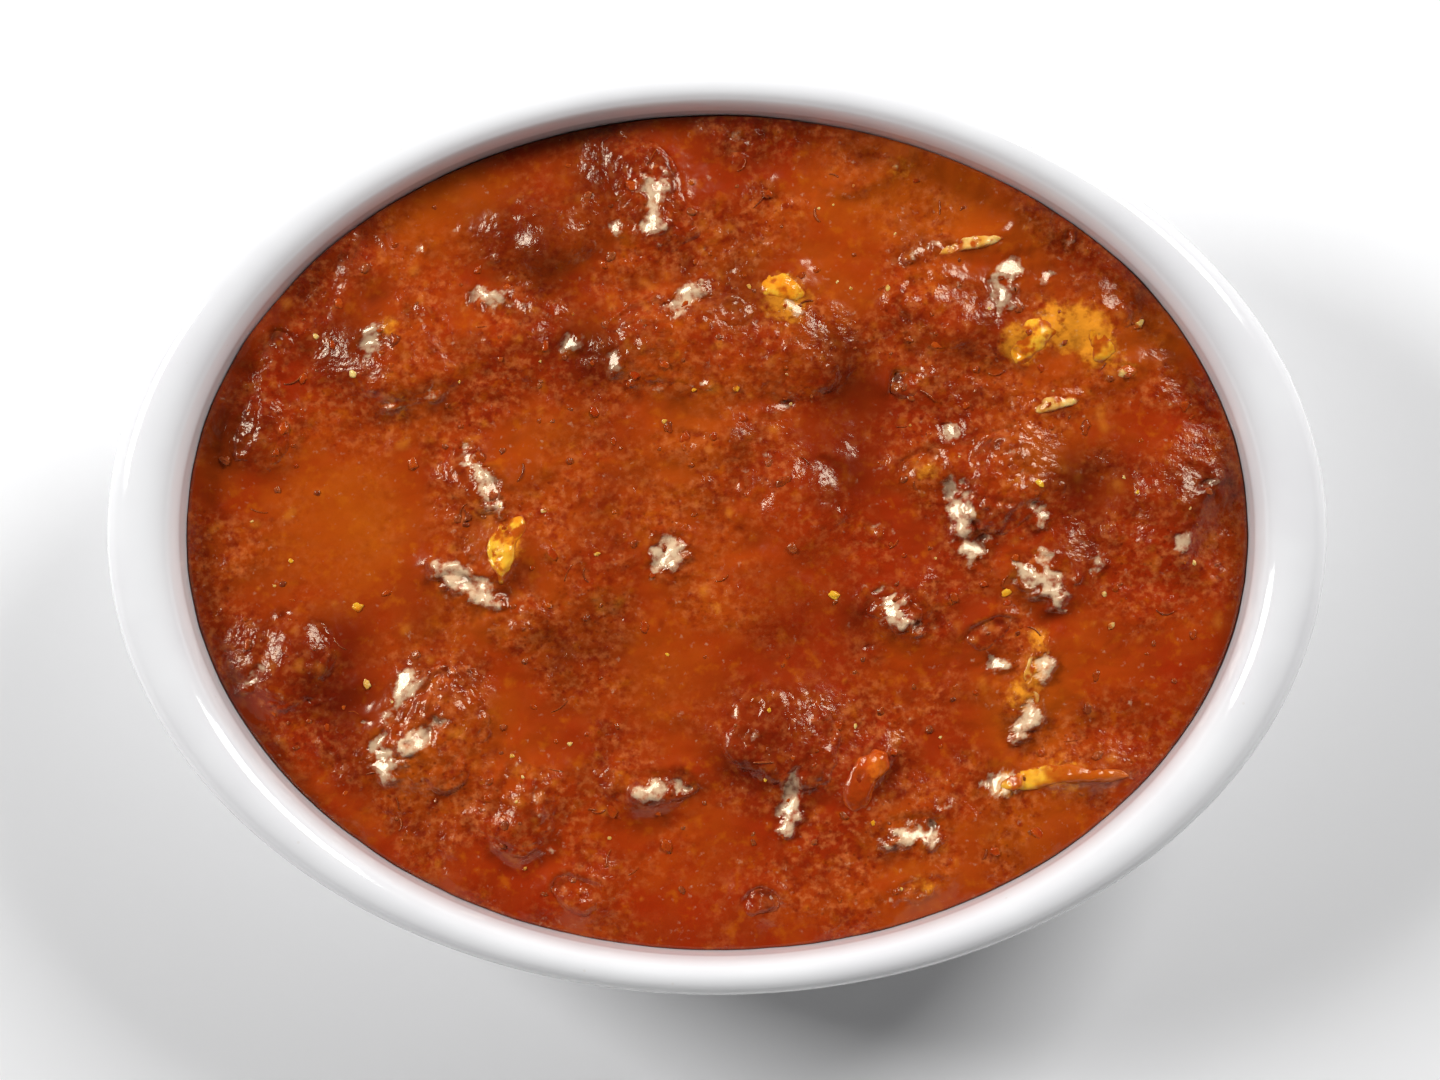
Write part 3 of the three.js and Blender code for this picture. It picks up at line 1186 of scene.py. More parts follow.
# Wet spots as x, y, length, width and turn in degrees, by the lamp that they show.
LEFT_GLINTS = (
    (-55.2, -37.6, 7.6, 3.1, 102), (40.4, 4, 9, 3, 100), (51.8, -7, 5, 2.6, 150),
    (-10, 57.2, 6, 2.6, 95), (-10.4, 51.4, 5.2, 2.6, 92), (-16.8, 50.4, 2.4, 1.6, 92),
    (-39.6, -9.4, 3.6, 2.6, 100), (47, 39.6, 5.6, 3, 100), (-51.6, -25.6, 7, 3, 55),
    (12, -44.9, 8.6, 2.6, 76), (-7.8, -3.2, 5.2, 4, 60), (29.3, -12.8, 6.2, 2.8, 130),
    (51, -31.2, 6.4, 2.4, 58), (54, -21.9, 3.4, 2.2, 98), (-5, 39.2, 6.6, 2.6, 38),
    (-76.6, -24, 5, 1.6, 50), (-37.7, 38.9, 5.4, 2.4, 170), (-57.1, 31.9, 5.2, 2.2, 85),
    (45.1, -41.2, 2.6, 1.8, 88), (-32.3, -12.8, 2.6, 1.2, 50), (-24.3, 31.3, 2.6, 1.9, 50),
    (-17, 28, 3.8, 1.6, 105), (76.6, -1.4, 2.8, 2, 62), (34.4, -59.4, 2.4, 1.2, 176),
    (28.6, -60.8, 2.6, 1.2, 35), (49.9, 29.1, 3.2, 1, 118), (3.2, 65.2, 1.7, 1.3, 84),
    (-14.2, 25.4, 2, 1.2, 50), (39.2, 16.9, 2.8, 2, 158), (30.1, 26.1, 1.6, 1.3, 40),
    (-29.4, -44.6, 5.6, 1.3, 100), (-41, 12.2, 3.6, 1.8, 110), (48.1, 33.4, 1.7, 1.2, 100),
    (3.4, 7.7, 1.6, 1.1, 94), (-75.9, -9, 1.5, 1.2, 56), (-1.9, 25.2, 1.8, 1.2, 103),
    (4.8, 29.1, 1.7, 1.1, 77), (8.1, 29, 1.2, 1, 74), (3.4, 13.2, 2, 0.9, 58),
    (81.8, 8.1, 2.6, 1.6, 40), (7, -61.6, 1.3, 1.1, 118), (62.9, -5.5, 2.6, 1.6, 60),
    (48.7, 13.4, 1.5, 1, 176), (33.2, -15.8, 2, 1.4, 23), (-33.5, -37.6, 1.4, 1, 20),
    (58.4, 48.8, 2.4, 1, 90), (46.4, -21.2, 2.4, 2, 155), (34.3, 26, 1.2, 0.9, 22),
    (-54.3, -29.8, 3, 1.5, 70), (-38.8, -10.2, 5.0, 3.0, 140), (-36.8, -15.4, 2.2, 1, 20),
    (-66.6, -28, 2.2, 0.9, 170), (-32.5, 37.8, 2.6, 1.2, 150), (-56.7, 24.8, 3, 1, 95),
    (-53.8, 21.2, 3.6, 1.2, 5), (-46.6, 23.1, 2.6, 1.4, 40), (-43.8, 31.2, 1.4, 1.1, 90),
    (-74.7, 18, 1.4, 1.1, 20), (-65.2, 30, 2, 1.2, 60), (-48.8, 47, 1.8, 1.1, 60),
    (-38.1, 45.6, 2.4, 1.1, 0), (-33, 52.2, 3, 0.9, 5), (-42.8, 50.5, 1.4, 1.2, 80),
    (-27.4, 35.6, 1.5, 1.1, 0), (-74.2, 27.4, 2.6, 1, 80), (-83, 12.6, 1.8, 1, 80),
    (-13.8, 57.6, 2, 1.2, 120), (-13.7, 50.2, 1.8, 1.2, 92), (19.6, 56.2, 3.4, 0.9, 0),
    (29.1, 32.8, 1.6, 1.2, 90), (-9.6, 24.2, 2.4, 1.2, 10), (15.3, 29.2, 1.6, 0.9, 90),
    (8.6, 24, 1.5, 0.9, 20), (3, 43.4, 1.8, 0.8, 0), (40, 40.8, 1.9, 1.3, 90), (64, 24.6, 2.2, 0.9, 80),
    (71.2, 7.4, 1.6, 1.1, 60), (76.4, 8.6, 1.5, 1, 40), (76.2, 5.2, 1.4, 1, 120),
    (53.9, -3.6, 3, 1.8, 95), (58.8, -6.8, 2.4, 1.3, 90), (42.4, -21.2, 1.6, 1.2, 20),
    (57.8, -28.2, 1.6, 1, 0), (68.2, -27.8, 1.8, 0.9, 30), (65.6, -18.6, 1.4, 0.9, 0),
    (47.2, -41.4, 4.8, 3, 5), (38, -45.2, 2.2, 1.2, 0), (8.6, 13, 2, 1, 45), (-2.4, 8.8, 1.6, 1, 0),
    (-19.8, 15, 1.4, 1.2, 0), (20.6, 4, 2.4, 0.9, 80), (19.6, 1.8, 1.8, 1.2, 20),
    (26.2, 0.2, 1.8, 1.4, 90), (25.6, -19.4, 2.2, 1.2, 140), (3.2, -29.5, 2, 1.2, 70),
    (6.4, -33, 1.8, 1.1, 60), (16.6, -28.4, 4.6, 1, 125),
)

RIGHT_GLINTS = (
    (-49.2, -34.0, 7.2, 2.7, 37), (42.6, -2.4, 4.6, 2.8, 30), (55.2, -8.6, 6.4, 3, 105),
    (-42.8, -7.4, 8.2, 3.8, 150), (48.6, 43.8, 5, 2.4, 20), (-37.8, 7.6, 6.6, 3, 120),
    (-9.7, -42.4, 7.4, 2.4, 16), (32.4, -50, 7.6, 2.4, 5),
    (33.8, 46.8, 4.8, 1.4, 26), (53.4, 3.4, 3.4, 1.8, 96), (10.6, 21, 3.2, 1.4, 10),
    (-28.2, -52, 1.9, 1.5, 30), (-35.8, -51.8, 2.6, 1.1, 160), (13, 37, 3.4, 1.8, 150),
    (54.4, 42.5, 2.2, 1.5, 90), (36.8, 47.6, 4.2, 1.3, 175), (67.6, 27.2, 2.8, 1, 20),
    (46.4, 4.6, 5.2, 1.1, 8),
)

WET_SPOTS = tuple(
    [WetSpot(*glint) for glint in LEFT_GLINTS]
    + [WetSpot(*glint, Side.RIGHT) for glint in RIGHT_GLINTS]
)


@dataclass(frozen=True)
class Area:
    """A round area of the stew that looks unlike the rest."""

    x: float
    y: float
    reach: float
    amount: float


def areas(*rows: tuple[float, float, float, float]) -> tuple[Area, ...]:
    """Areas from rows of x, y, reach and amount."""
    return tuple(Area(*row) for row in rows)


# Smooth pools of sauce with little mince in them.
CALM_AREAS = areas(
    (-62, 3, 13, 1.0), (-52, -12, 7, 1.0), (-30, 58, 9, 0.6), (14, -6, 12, 0.7), (16, -20, 9, 0.8),
    (-6, -26, 10, 0.8), (-4, -58, 14, 0.8), (28, 56, 9, 0.6), (76, -24, 11, 0.7), (-48, 48, 8, 0.5),
    (-18, 10, 8, 0.5), (22, 16, 8, 0.6),
)

# Places where the sauce is darkened with painted shade.
PAINTED_SHADE_AREAS = areas(
    (38, 21, 6, 0.4), (10, -10, 6, 0.3), (-20, 1, 6, 0.3), (-50, -49, 6, 0.35), (22, 30, 5, 0.3),
    (5, 40, 7, 0.5), (62, 41, 6, 0.3), (47, 38, 6, 0.45), (-62, 31, 7, 0.7), (-36, 50, 8, 0.6),
    (-29, 51, 6, 0.35), (-20, 52, 5, 0.35), (-20, 29, 7, 0.65), (-63, 30, 5, 0.25),
    (-77, -18, 9, 0.55), (61, -1, 6, 0.45), (81, 3, 8, 0.55), (19, 28, 6, 0.25), (19, 10, 6, 0.55),
    (-40, -30, 5, 0.25), (41.2, 30.1, 2, 0.6), (-80, 16, 8, 0.8), (-80, 28, 5, 0.5),
    (-62.5, -17, 6, 0.6), (-62.5, -28, 6.5, 0.9), (-60, -40, 6, 0.6), (-19, -18, 5, 0.5),
    (-28, 44, 6, 0.8), (-19, 60, 7, 0.7), (-21, 31, 5, 0.6), (22, 23, 7, 0.75), (23, 11, 5, 0.45),
    (59.5, 8.7, 6, 0.85), (68, 12, 4, 0.4), (81, 8, 6, 0.5), (9, -33, 7, 0.55), (23, -13.5, 4, 0.5),
    (-25.7, -19, 6, 0.5), (27, -40, 5, 0.5), (5, -41, 4, 0.5), (64, -44, 5, 0.35), (7, 62, 4, 0.4),
    (-48, -14, 4, 0.3), (-6, 22, 4, 0.35),
)

# Places where the sauce is oilier and orange; some of them also lighten it as painted light where shade
# falls, as under the rim at the top.
WARM_AREAS = areas(
    (-42, -14, 6, 0.7), (-50, -38, 6, 0.9), (-52, -19, 6, 0.4), (52, -30, 6, 0.8),
    (31, -19, 5, 0.5), (31, -47, 5, 0.5), (50, -8, 5, 0.4), (-4, 18, 9, 0.6), (30, 60.5, 7, 1.0),
    (50, 52, 5, 0.6), (-50, -40, 5, 0.5), (-27, -18, 8, 0.5), (50, -50, 7, 0.9), (53, 13, 6, 1.0),
    (-50, 20, 6, 0.5), (-30, 14, 9, 0.7), (-50, 50, 6, 0.8), (40, 54, 9, 0.8), (52, 47, 6, 0.5),
    (-44, 54, 7, 0.4), (-60, 2, 12, 0.9), (-78, -4, 7, 0.6), (30, 58, 12, 0.7), (2, 44, 9, 0.5),
    (-10, -22, 12, 0.5), (20, 38, 7, 0.6), (-55, 34, 4, 0.4), (34, 10.5, 4, 0.7), (60, 31, 9, 0.8),
    (74, 34, 6, 0.6), (50, -27, 7, 0.8), (55, -40, 9, 0.6), (-40, -30, 6, 0.5), (-38, -2, 7, 0.6),
    (33, -58, 6, 0.7), (-10, 8, 12, 0.4), (-40, 58, 8, 0.4), (-4, 12, 7, 0.3),
)

# Places with more tomato, red.
RUDDY_AREAS = areas(
    (56.5, 27.5, 4, 0.8), (-36, 20, 8, 0.5), (26, -4, 8, 0.5), (66, -30, 8, 0.5),
    (-34, -52, 8, 0.6), (46, 50, 6, 0.5), (0, 54, 6, 0.4), (-72, 26, 9, 0.9), (-50, 12, 7, 0.5),
    (-64, -34, 8, 0.8), (-78, -14, 6, 0.6), (-20, -52, 12, 0.6), (-14, 60, 7, 0.7),
    (16, 2, 12, 0.7), (36, 20, 8, 0.6), (50, 4, 8, 0.7), (74, -4, 11, 0.9), (78, 18, 7, 0.6),
    (-12, 18, 6, 0.5), (10, -50, 8, 0.7), (-46, 44, 7, 0.6), (40, -34, 6, 0.5),
)

# Places where a skin of golden fat lies.
GOLDEN_AREAS = areas(
    (53, -22.5, 2.6, 0.7), (47.5, -41.6, 2.6, 0.9), (51.2, 49.5, 3, 0.42), (-0.8, -11.8, 2.2, 0.5),
    (-52.6, 21.0, 3.4, 0.5), (50, 8, 3.4, 0.45), (49.8, 31.2, 3.8, 0.98), (61, 33.6, 4.6, 1.0),
    (56, 34.8, 4.0, 0.97), (63.2, 29.6, 2.6, 0.9), (11, 38.8, 5, 0.85), (53, -17.5, 3, 0.7),
    (50.5, -27, 3.6, 0.7), (-34.6, -2, 3.6, 0.7), (-54.6, 34, 3, 0.6), (34.5, 10.5, 3, 0.6),
    (57, -40, 5, 0.65), (30, 60.5, 5, 0.46), (34, -58.5, 4, 0.5), (68, 27, 3, 0.5),
    (22, 32, 4, 0.35), (-31, 37, 3, 0.35),
)


def share_of(spots: tuple[Area, ...], x: np.ndarray, y: np.ndarray) -> np.ndarray:
    """How much each place belongs to some areas.

    Args:
        spots: the areas.
        x: places along X.
        y: places along Y.

    Returns:
        A share from 0 to 1 for each place.
    """
    left_over = np.ones_like(x)
    for area in spots:
        away = ((x - area.x) ** 2 + (y - area.y) ** 2) / area.reach**2
        left_over *= 1 - np.clip(area.amount * np.exp(-away), 0, 1)
    return 1 - left_over


@dataclass(frozen=True)
class BitKind:
    """One kind of small bit that is strewn over the stew, with its radii."""

    name: str
    slot: str
    count: int
    smallest: float
    largest: float
    flatness: float
    stretch: float = 1.7


BIT_KINDS = (
    BitKind("meat_crumbs", "beef", 170, 0.25, 0.75, 0.4),
    BitKind("tomato_pulp", "sauce", 90, 0.3, 0.85, 0.25),
    BitKind("onion_bits", "onion", 50, 0.2, 0.6, 0.35),
    BitKind("pepper_bits", "yellow_pepper", 12, 0.25, 0.8, 0.3),
)


@dataclass(frozen=True)
class Hump:
    """A smooth oval hump: its middle, its two reaches, its turn in radians and its height."""

    x: float
    y: float
    length: float
    width: float
    turn: float
    rise: float

    def at(self, x: np.ndarray, y: np.ndarray) -> np.ndarray:
        """Its height at some places.

        Args:
            x: places along X.
            y: places along Y.

        Returns:
            The height at each place.
        """
        ahead, aside = math.cos(self.turn), math.sin(self.turn)
        u = ((x - self.x) * ahead + (y - self.y) * aside) / self.length
        v = ((y - self.y) * ahead - (x - self.x) * aside) / self.width
        return self.rise * np.exp(-(u * u + v * v))


@dataclass(frozen=True)
class LampSlopes:
    """Turns the stew's surface to the lamps at the wet spots, and away from them elsewhere.

    Attributes:
        steepest: how far a slope may go towards a lamp's reflection before it is eased.
        rounds: how often slopes are eased.
        spread: how far the easing fades out.
        detail: finer relief than this rides on the facets.
        evening: how much of that relief a facet loses.
        margin: how far a facet reaches beyond its spot.
        painted_shade_ring_reach: how far the painted shade round a spot reaches.
        dent: how deep a facet goes at most.
        crest: how high a facet goes at most.
        raggedness: how uneven the edge of a facet is.
        ragged_size: how broad its teeth are.
    """

    seed: int
    steepest: float = 0.5
    rounds: int = 4
    spread: float = 6.0
    detail: float = 0.7
    evening: float = 0.35
    margin: float = 0.5
    painted_shade_ring_reach: float = 1.6
    dent: float = 1.0
    crest: float = 1.4
    raggedness: float = 0.75
    ragged_size: float = 2.3

    def eased(self, surface: Plan) -> Plan:
        """The surface with slopes that would show a lamp by chance laid flatter.

        Args:
            surface: height of the stew with its pieces.

        Returns:
            The new height.
        """
        eased = surface.values.copy()
        x, y = surface.places()
        places = np.stack([x, y, np.full_like(x, SAUCE_LEVEL)], axis=-1)
        aims = [slope_towards(side, places) for side in LAMP_PLACES]
        for _ in range(self.rounds):
            rise = np.stack(np.gradient(eased, surface.pitch)[::-1], axis=-1)
            extra = np.zeros_like(rise)
            for aim in aims:
                reach = np.linalg.norm(aim, axis=-1, keepdims=True)
                ahead = aim / reach
                fall = -(rise * ahead).sum(axis=-1, keepdims=True)
                extra += np.maximum(fall - self.steepest * reach, 0) * ahead
            eased += self._from_slopes(extra, surface.pitch)
        return surface.holding(eased)

    def _from_slopes(self, slopes: np.ndarray, pitch: float) -> np.ndarray:
        """The heights whose slopes come nearest to some slopes, fading out beyond the spread.

        Args:
            slopes: the slope along X and along Y at each place of a grid.
            pitch: how far apart the places are.

        Returns:
            The height at each place.
        """
        rate = np.gradient(slopes[..., 0], pitch, axis=1)
        rate += np.gradient(slopes[..., 1], pitch, axis=0)
        mirrored = np.block([[rate, rate[:, ::-1]], [rate[::-1], rate[::-1, ::-1]]])
        turns = [2 - 2 * np.cos(2 * math.pi * np.fft.fftfreq(count)) for count in mirrored.shape]
        stiffness = (turns[0][:, None] + turns[1][None]) / pitch**2 + self.spread**-2
        heights = np.fft.ifft2(-np.fft.fft2(mirrored) / stiffness).real
        return heights[: rate.shape[0], : rate.shape[1]]

    def tilted(self, tops: Plan) -> tuple[np.ndarray, np.ndarray, np.ndarray]:
        """Tilts the surface at each wet spot so that it shows a lamp.

        Args:
            tops: height of the stew with its pieces.

        Returns:
            What is to be added to the height, how wet each place is and how near to a spot, for the
            painted shade round it.
        """
        x, y = tops.places()
        broad = tops.blurred(self.detail)
        detail = tops.values - broad.values
        change, wet, painted_shade_ring = tops.blank(), tops.blank(), tops.blank()
        noise = SmoothNoise(self.seed)(tops.flat_points(), self.ragged_size, 3)
        uneven = self.raggedness * noise.reshape(x.shape)
        for spot in WET_SPOTS:
            here = broad.there(spot.x, spot.y)
            fall_x, fall_y = slope_towards(spot.side, np.array([spot.x, spot.y, here]))
            plane = here - fall_x * (x - spot.x) - fall_y * (y - spot.y)
            strength = spot.strength()
            cover = spot.window(x, y, self.margin * (0.2 + 0.8 * strength), uneven)
            shift = plane - broad.values - self.evening * detail
            limit = np.where(shift < 0, self.dent, self.crest)
            shift = limit * np.tanh(shift / limit)
            change += cover * (shift - change)
            wet = np.maximum(wet, cover * (0.3 + 0.7 * strength))
            # Painted shade: a dark ring round the spot.
            near = spot.window(x, y, self.painted_shade_ring_reach, uneven)
            painted_shade_ring = np.maximum(painted_shade_ring, (0.4 + 0.6 * strength) * near)
        return change, wet, painted_shade_ring


@dataclass
class Relief:
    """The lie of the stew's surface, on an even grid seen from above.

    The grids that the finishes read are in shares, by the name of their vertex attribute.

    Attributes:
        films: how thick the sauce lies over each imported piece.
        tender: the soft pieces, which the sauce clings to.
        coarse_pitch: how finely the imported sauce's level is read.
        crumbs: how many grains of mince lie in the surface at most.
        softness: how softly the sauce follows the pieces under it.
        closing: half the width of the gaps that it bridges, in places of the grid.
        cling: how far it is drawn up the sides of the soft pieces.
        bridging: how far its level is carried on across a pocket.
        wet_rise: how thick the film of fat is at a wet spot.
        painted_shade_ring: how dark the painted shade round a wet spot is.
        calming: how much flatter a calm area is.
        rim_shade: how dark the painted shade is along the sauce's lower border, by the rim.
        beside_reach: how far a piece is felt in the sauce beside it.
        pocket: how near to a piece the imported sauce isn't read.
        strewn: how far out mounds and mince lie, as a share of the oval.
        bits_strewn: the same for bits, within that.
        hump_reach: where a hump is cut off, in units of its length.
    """

    sauce: bpy.types.Object
    films: dict[bpy.types.Object, float]
    tender: list[bpy.types.Object]
    half_x: float = 89.0
    half_y: float = 70.0
    pitch: float = 0.4
    coarse_pitch: float = 1.6
    mounds: int = 300
    crumbs: int = 3200
    softness: float = 2.0
    closing: int = 6
    cling: float = 0.9
    bridging: float = 7.0
    wet_rise: float = 0.2
    painted_shade_ring: float = 0.45
    calming: float = 0.85
    rim_shade: float = 0.35
    beside_reach: float = 1.3
    pocket: float = 0.12
    strewn: float = 0.97
    bits_strewn: float = 0.965
    hump_reach: float = 2.4
    seed: int = 5

    def __post_init__(self) -> None:
        """Works out all the grids."""
        self.grid = Plan(self.half_x, self.half_y, self.pitch)
        self.shares: dict[str, Plan] = {}
        standing = self._standing(self.films)
        covered = self.grid.holding((~np.isnan(standing)).astype(float))
        self.beside = covered.blurred(self.beside_reach)
        self._read_areas()
        self.bits = self._bits()
        self._raise_surface(standing)

    def shares_at(self, x: np.ndarray, y: np.ndarray) -> dict[str, np.ndarray]:
        """What the finishes read at some places.

        Args:
            x: places along X.
            y: places along Y.

        Returns:
            The values at the places, by name.
        """
        return {name: plan.at(x, y) for name, plan in self.shares.items()}

    def _read_areas(self) -> None:
        """Marks where the stew is calm, golden, ruddy and grainy, where it is oilier and painted
        lighter, and where painted shade darkens it.
        """
        x, y = self.grid.places()
        self.calm = self.grid.holding(share_of(CALM_AREAS, x, y))
        kinds = {"oil_and_painted_light": WARM_AREAS, "golden": GOLDEN_AREAS, "ruddy": RUDDY_AREAS}
        for name, spots in kinds.items():
            self.shares[name] = self.grid.holding(share_of(spots, x, y))
        # Painted shade: a darker band along the lower border of the sauce.
        painted_border_shade = smooth_step(np.hypot(x / self.half_x, y / self.half_y), 0.88, 0.99)
        painted_border_shade *= self.rim_shade * smooth_step(-y, -40, 10)
        self.shares["tone_and_painted_shade"] = self.grid.holding(np.maximum(share_of(PAINTED_SHADE_AREAS, x, y), painted_border_shade))
        lumps = smooth_step(self.beside.values, 0.3, 0.8)
        grainy = np.maximum(self._mince(), 0.8 * lumps)
        self.shares["grain"] = self.grid.holding(grainy * (1 - self.calm.values))

    def _raise_surface(self, standing: np.ndarray) -> None:
        """Works out the height of the sauce and what follows from it.

        Args:
            standing: tops of the pieces with their film of sauce, or nan beside them.
        """
        crumbs, tint = self._crumbs()
        level = self._level().at(*self.grid.places())
        tops = np.where(np.isnan(standing), level, standing)
        draped = self.grid.holding(self._closed(tops)).blurred(self.softness)
        uneven = self._mounds() + self._ripples()
        height = draped.values + uneven * (1 - self.calming * self.calm.values)
        height += self._swollen_under_bits()
        height += self._collar(self.grid.holding(height))
        visible = np.maximum(height, tops)
        slopes = LampSlopes(self.seed + 12)
        eased = slopes.eased(self.grid.holding(visible + crumbs))
        facets, wet, painted_shade_ring = slopes.tilted(eased)
        self.lift = self.grid.holding(facets + eased.values - visible)
        height += self.lift.values + self.wet_rise * wet
        self.height = self.grid.holding(height)
        sunk = self.height.blurred(2.0).values - height
        found = {
            "crumb": tint,
            "wet": wet,
            # Painted shade: a dark ring round each wet spot joins the listed dark places.
            "tone_and_painted_shade": np.maximum(self.shares["tone_and_painted_shade"].values, self.painted_shade_ring * painted_shade_ring * (1 - wet)),
            # Painted shade: the sauce is darker in its hollows.
            "painted_hollow_shade": smooth_step(sunk, 0.08, 0.8),
        }
        self.shares |= {name: self.grid.holding(values) for name, values in found.items()}

    def _standing(self, films: dict[bpy.types.Object, float]) -> np.ndarray:
        """Tops of some pieces with their film of sauce.

        Args:
            films: how thick the sauce lies over each piece.

        Returns:
            The height at each place of the grid, or nan beside the pieces.
        """
        found = np.full_like(self.grid.blank(), np.nan)
        for film in sorted(set(films.values())):
            meshes = [piece.data for piece, depth in films.items() if depth == film]
            found = np.fmax(found, self.grid.filled(Tops(meshes)).values + film)
        return found

    def _level(self) -> Plan:
        """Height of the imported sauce, carried on across its pockets.

        Returns:
            The height, on the coarse grid.
        """
        coarse = Plan(self.half_x, self.half_y, self.coarse_pitch)
        found = coarse.filled(Tops([self.sauce.data]))
        near = self.beside.at(*coarse.places())
        known = np.where(near > self.pocket, np.nan, found.values)
        bridged = coarse.holding(known).blurred(self.bridging)
        return coarse.holding(np.where(np.isnan(known), bridged.values, known)).blurred(2.2)

    def _collar(self, sauce: Plan) -> np.ndarray:
        """How far the sauce clings to the sides of the soft pieces.

        Args:
            sauce: its height so far.

        Returns:
            What is to be added to the height.
        """
        crowns = self._standing({piece: self.films[piece] for piece in self.tender})
        raised = sauce.holding(np.fmax(sauce.values, crowns))
        return raised.blurred(self.cling).values - sauce.blurred(self.cling).values

    def _stamp(self, hump: Hump) -> tuple[slice, slice, np.ndarray]:
        """Where on the grid a hump lies, and its height there.

        Args:
            hump: the hump.

        Returns:
            The rows and the columns, and the hump's height on them.
        """
        reach = self.hump_reach * max(hump.length, hump.width)
        axis_x, axis_y = self.grid.axes()
        columns = slice(*np.searchsorted(axis_x, [hump.x - reach, hump.x + reach]))
        rows = slice(*np.searchsorted(axis_y, [hump.y - reach, hump.y + reach]))
        return rows, columns, hump.at(*np.meshgrid(axis_x[columns], axis_y[rows]))

    def _raised(self, humps: list[Hump]) -> np.ndarray:
        """The sum of some humps.

        Args:
            humps: the humps.

        Returns:
            Their height at each place of the grid.
        """
        total = self.grid.blank()
        for hump in humps:
            rows, columns, height = self._stamp(hump)
            total[rows, columns] += height
        return total

    def _place(self, rng: np.random.Generator, quiet: float) -> tuple[float, float]:
        """A random place in the oval, seldom in a calm area.

        Args:
            rng: where the chance comes from.
            quiet: how strongly calm areas are left free, from 0 to 1.

        Returns:
            The place.
        """
        while True:
            u, v = rng.uniform(-1, 1, 2)
            if u * u + v * v > 1:
                continue
            px, py = self.strewn * u * self.half_x, self.strewn * v * self.half_y
            if rng.random() >= quiet * self.calm.there(px, py):
                return px, py

    def _bits(self) -> dict[str, np.ndarray]:
        """Strews the small bits.

        Returns:
            Place, size, turn and stretch of each bit, by its kind.
        """
        rng = np.random.default_rng(self.seed + 6)
        found = {}
        for kind in BIT_KINDS:
            rows = []
            for _ in range(kind.count):
                px, py = self._place(rng, 0.9)
                size = kind.smallest + (kind.largest - kind.smallest) * rng.random() ** 2.4
                turn = rng.uniform(0, 2 * math.pi)
                place = self.bits_strewn * px, self.bits_strewn * py
                rows.append((*place, size, turn, rng.uniform(1, kind.stretch)))
            found[kind.name] = np.array(rows)
        return found

    def _swollen_under_bits(self) -> np.ndarray:
        """The sauce drawn up round each strewn bit.

        Returns:
            What is to be added to the height.
        """
        humps = []
        for kind in BIT_KINDS:
            for px, py, size, turn, stretch in self.bits[kind.name]:
                reach = 1.5 * size
                rise = 0.7 * size * kind.flatness
                humps.append(Hump(px, py, reach * stretch, reach, turn, rise))
        return self._raised(humps)

    def _mounds(self) -> np.ndarray:
        """Low mounds where something lies just under the sauce.

        Returns:
            Their height at each place of the grid.
        """
        rng = np.random.default_rng(self.seed)
        humps = []
        for _ in range(self.mounds):
            px, py = self._place(rng, 0.6)
            length = rng.uniform(1.8, 5.2)
            width = length * rng.uniform(0.5, 0.9)
            rise = length * rng.uniform(0.05, 0.17)
            humps.append(Hump(px, py, length, width, rng.uniform(0, math.pi), rise))
        return self._raised(humps)

    def _crumbs(self) -> tuple[np.ndarray, np.ndarray]:
        """The mince that lies in the sauce's surface.

        Returns:
            Its height, and its tint from -1, dark, to 1, light.
        """
        rng = np.random.default_rng(self.seed + 8)
        height, tint, weight = self.grid.blank(), self.grid.blank(), self.grid.blank()
        for _ in range(self.crumbs):
            px, py = self._place(rng, 0.95)
            if rng.random() > self.shares["grain"].there(px, py):
                continue
            size = 0.5 + 1.0 * rng.random() ** 2.2
            length = size * rng.uniform(1, 1.6)
            turn = rng.uniform(0, math.pi)
            hump = Hump(px, py, length, size, turn, size * rng.uniform(0.08, 0.26))
            rows, columns, raised = self._stamp(hump)
            height[rows, columns] = np.maximum(height[rows, columns], raised)
            cover = (raised / hump.rise) ** 2
            tint[rows, columns] += cover * rng.uniform(-1, 1)
            weight[rows, columns] += cover
        return height, tint / np.maximum(weight, 1)

    def _mince(self) -> np.ndarray:
        """Where the sauce is grainy with mince, from 0 to 1."""
        share = SmoothNoise(self.seed + 9)(self.grid.flat_points(), 13, 2)
        return smooth_step(share, -0.45, 0.25).reshape(self.calm.values.shape)

    def _ripples(self) -> np.ndarray:
        """Unevenness from pulp and mince in the sauce.

        Returns:
            Its height at each place of the grid.
        """
        flat = self.grid.flat_points()
        broad = SmoothNoise(self.seed + 1)(flat, 11, 2)
        pulp = SmoothNoise(self.seed + 2)(flat, 3.4, 3)
        return (0.45 * broad + 0.2 * pulp).reshape(self.calm.values.shape)

    def _closed(self, tops: np.ndarray) -> np.ndarray:
        """The tops with narrow gaps between them bridged.

        Args:
            tops: height of the tops at each place of the grid.

        Returns:
            The new height.
        """
        reach = range(-self.closing, self.closing + 1)
        shifts = [(i, j) for i in reach for j in reach if i * i + j * j <= self.closing**2]
        raised = np.max([np.roll(tops, shift, (0, 1)) for shift in shifts], axis=0)
        return np.min([np.roll(raised, shift, (0, 1)) for shift in shifts], axis=0)


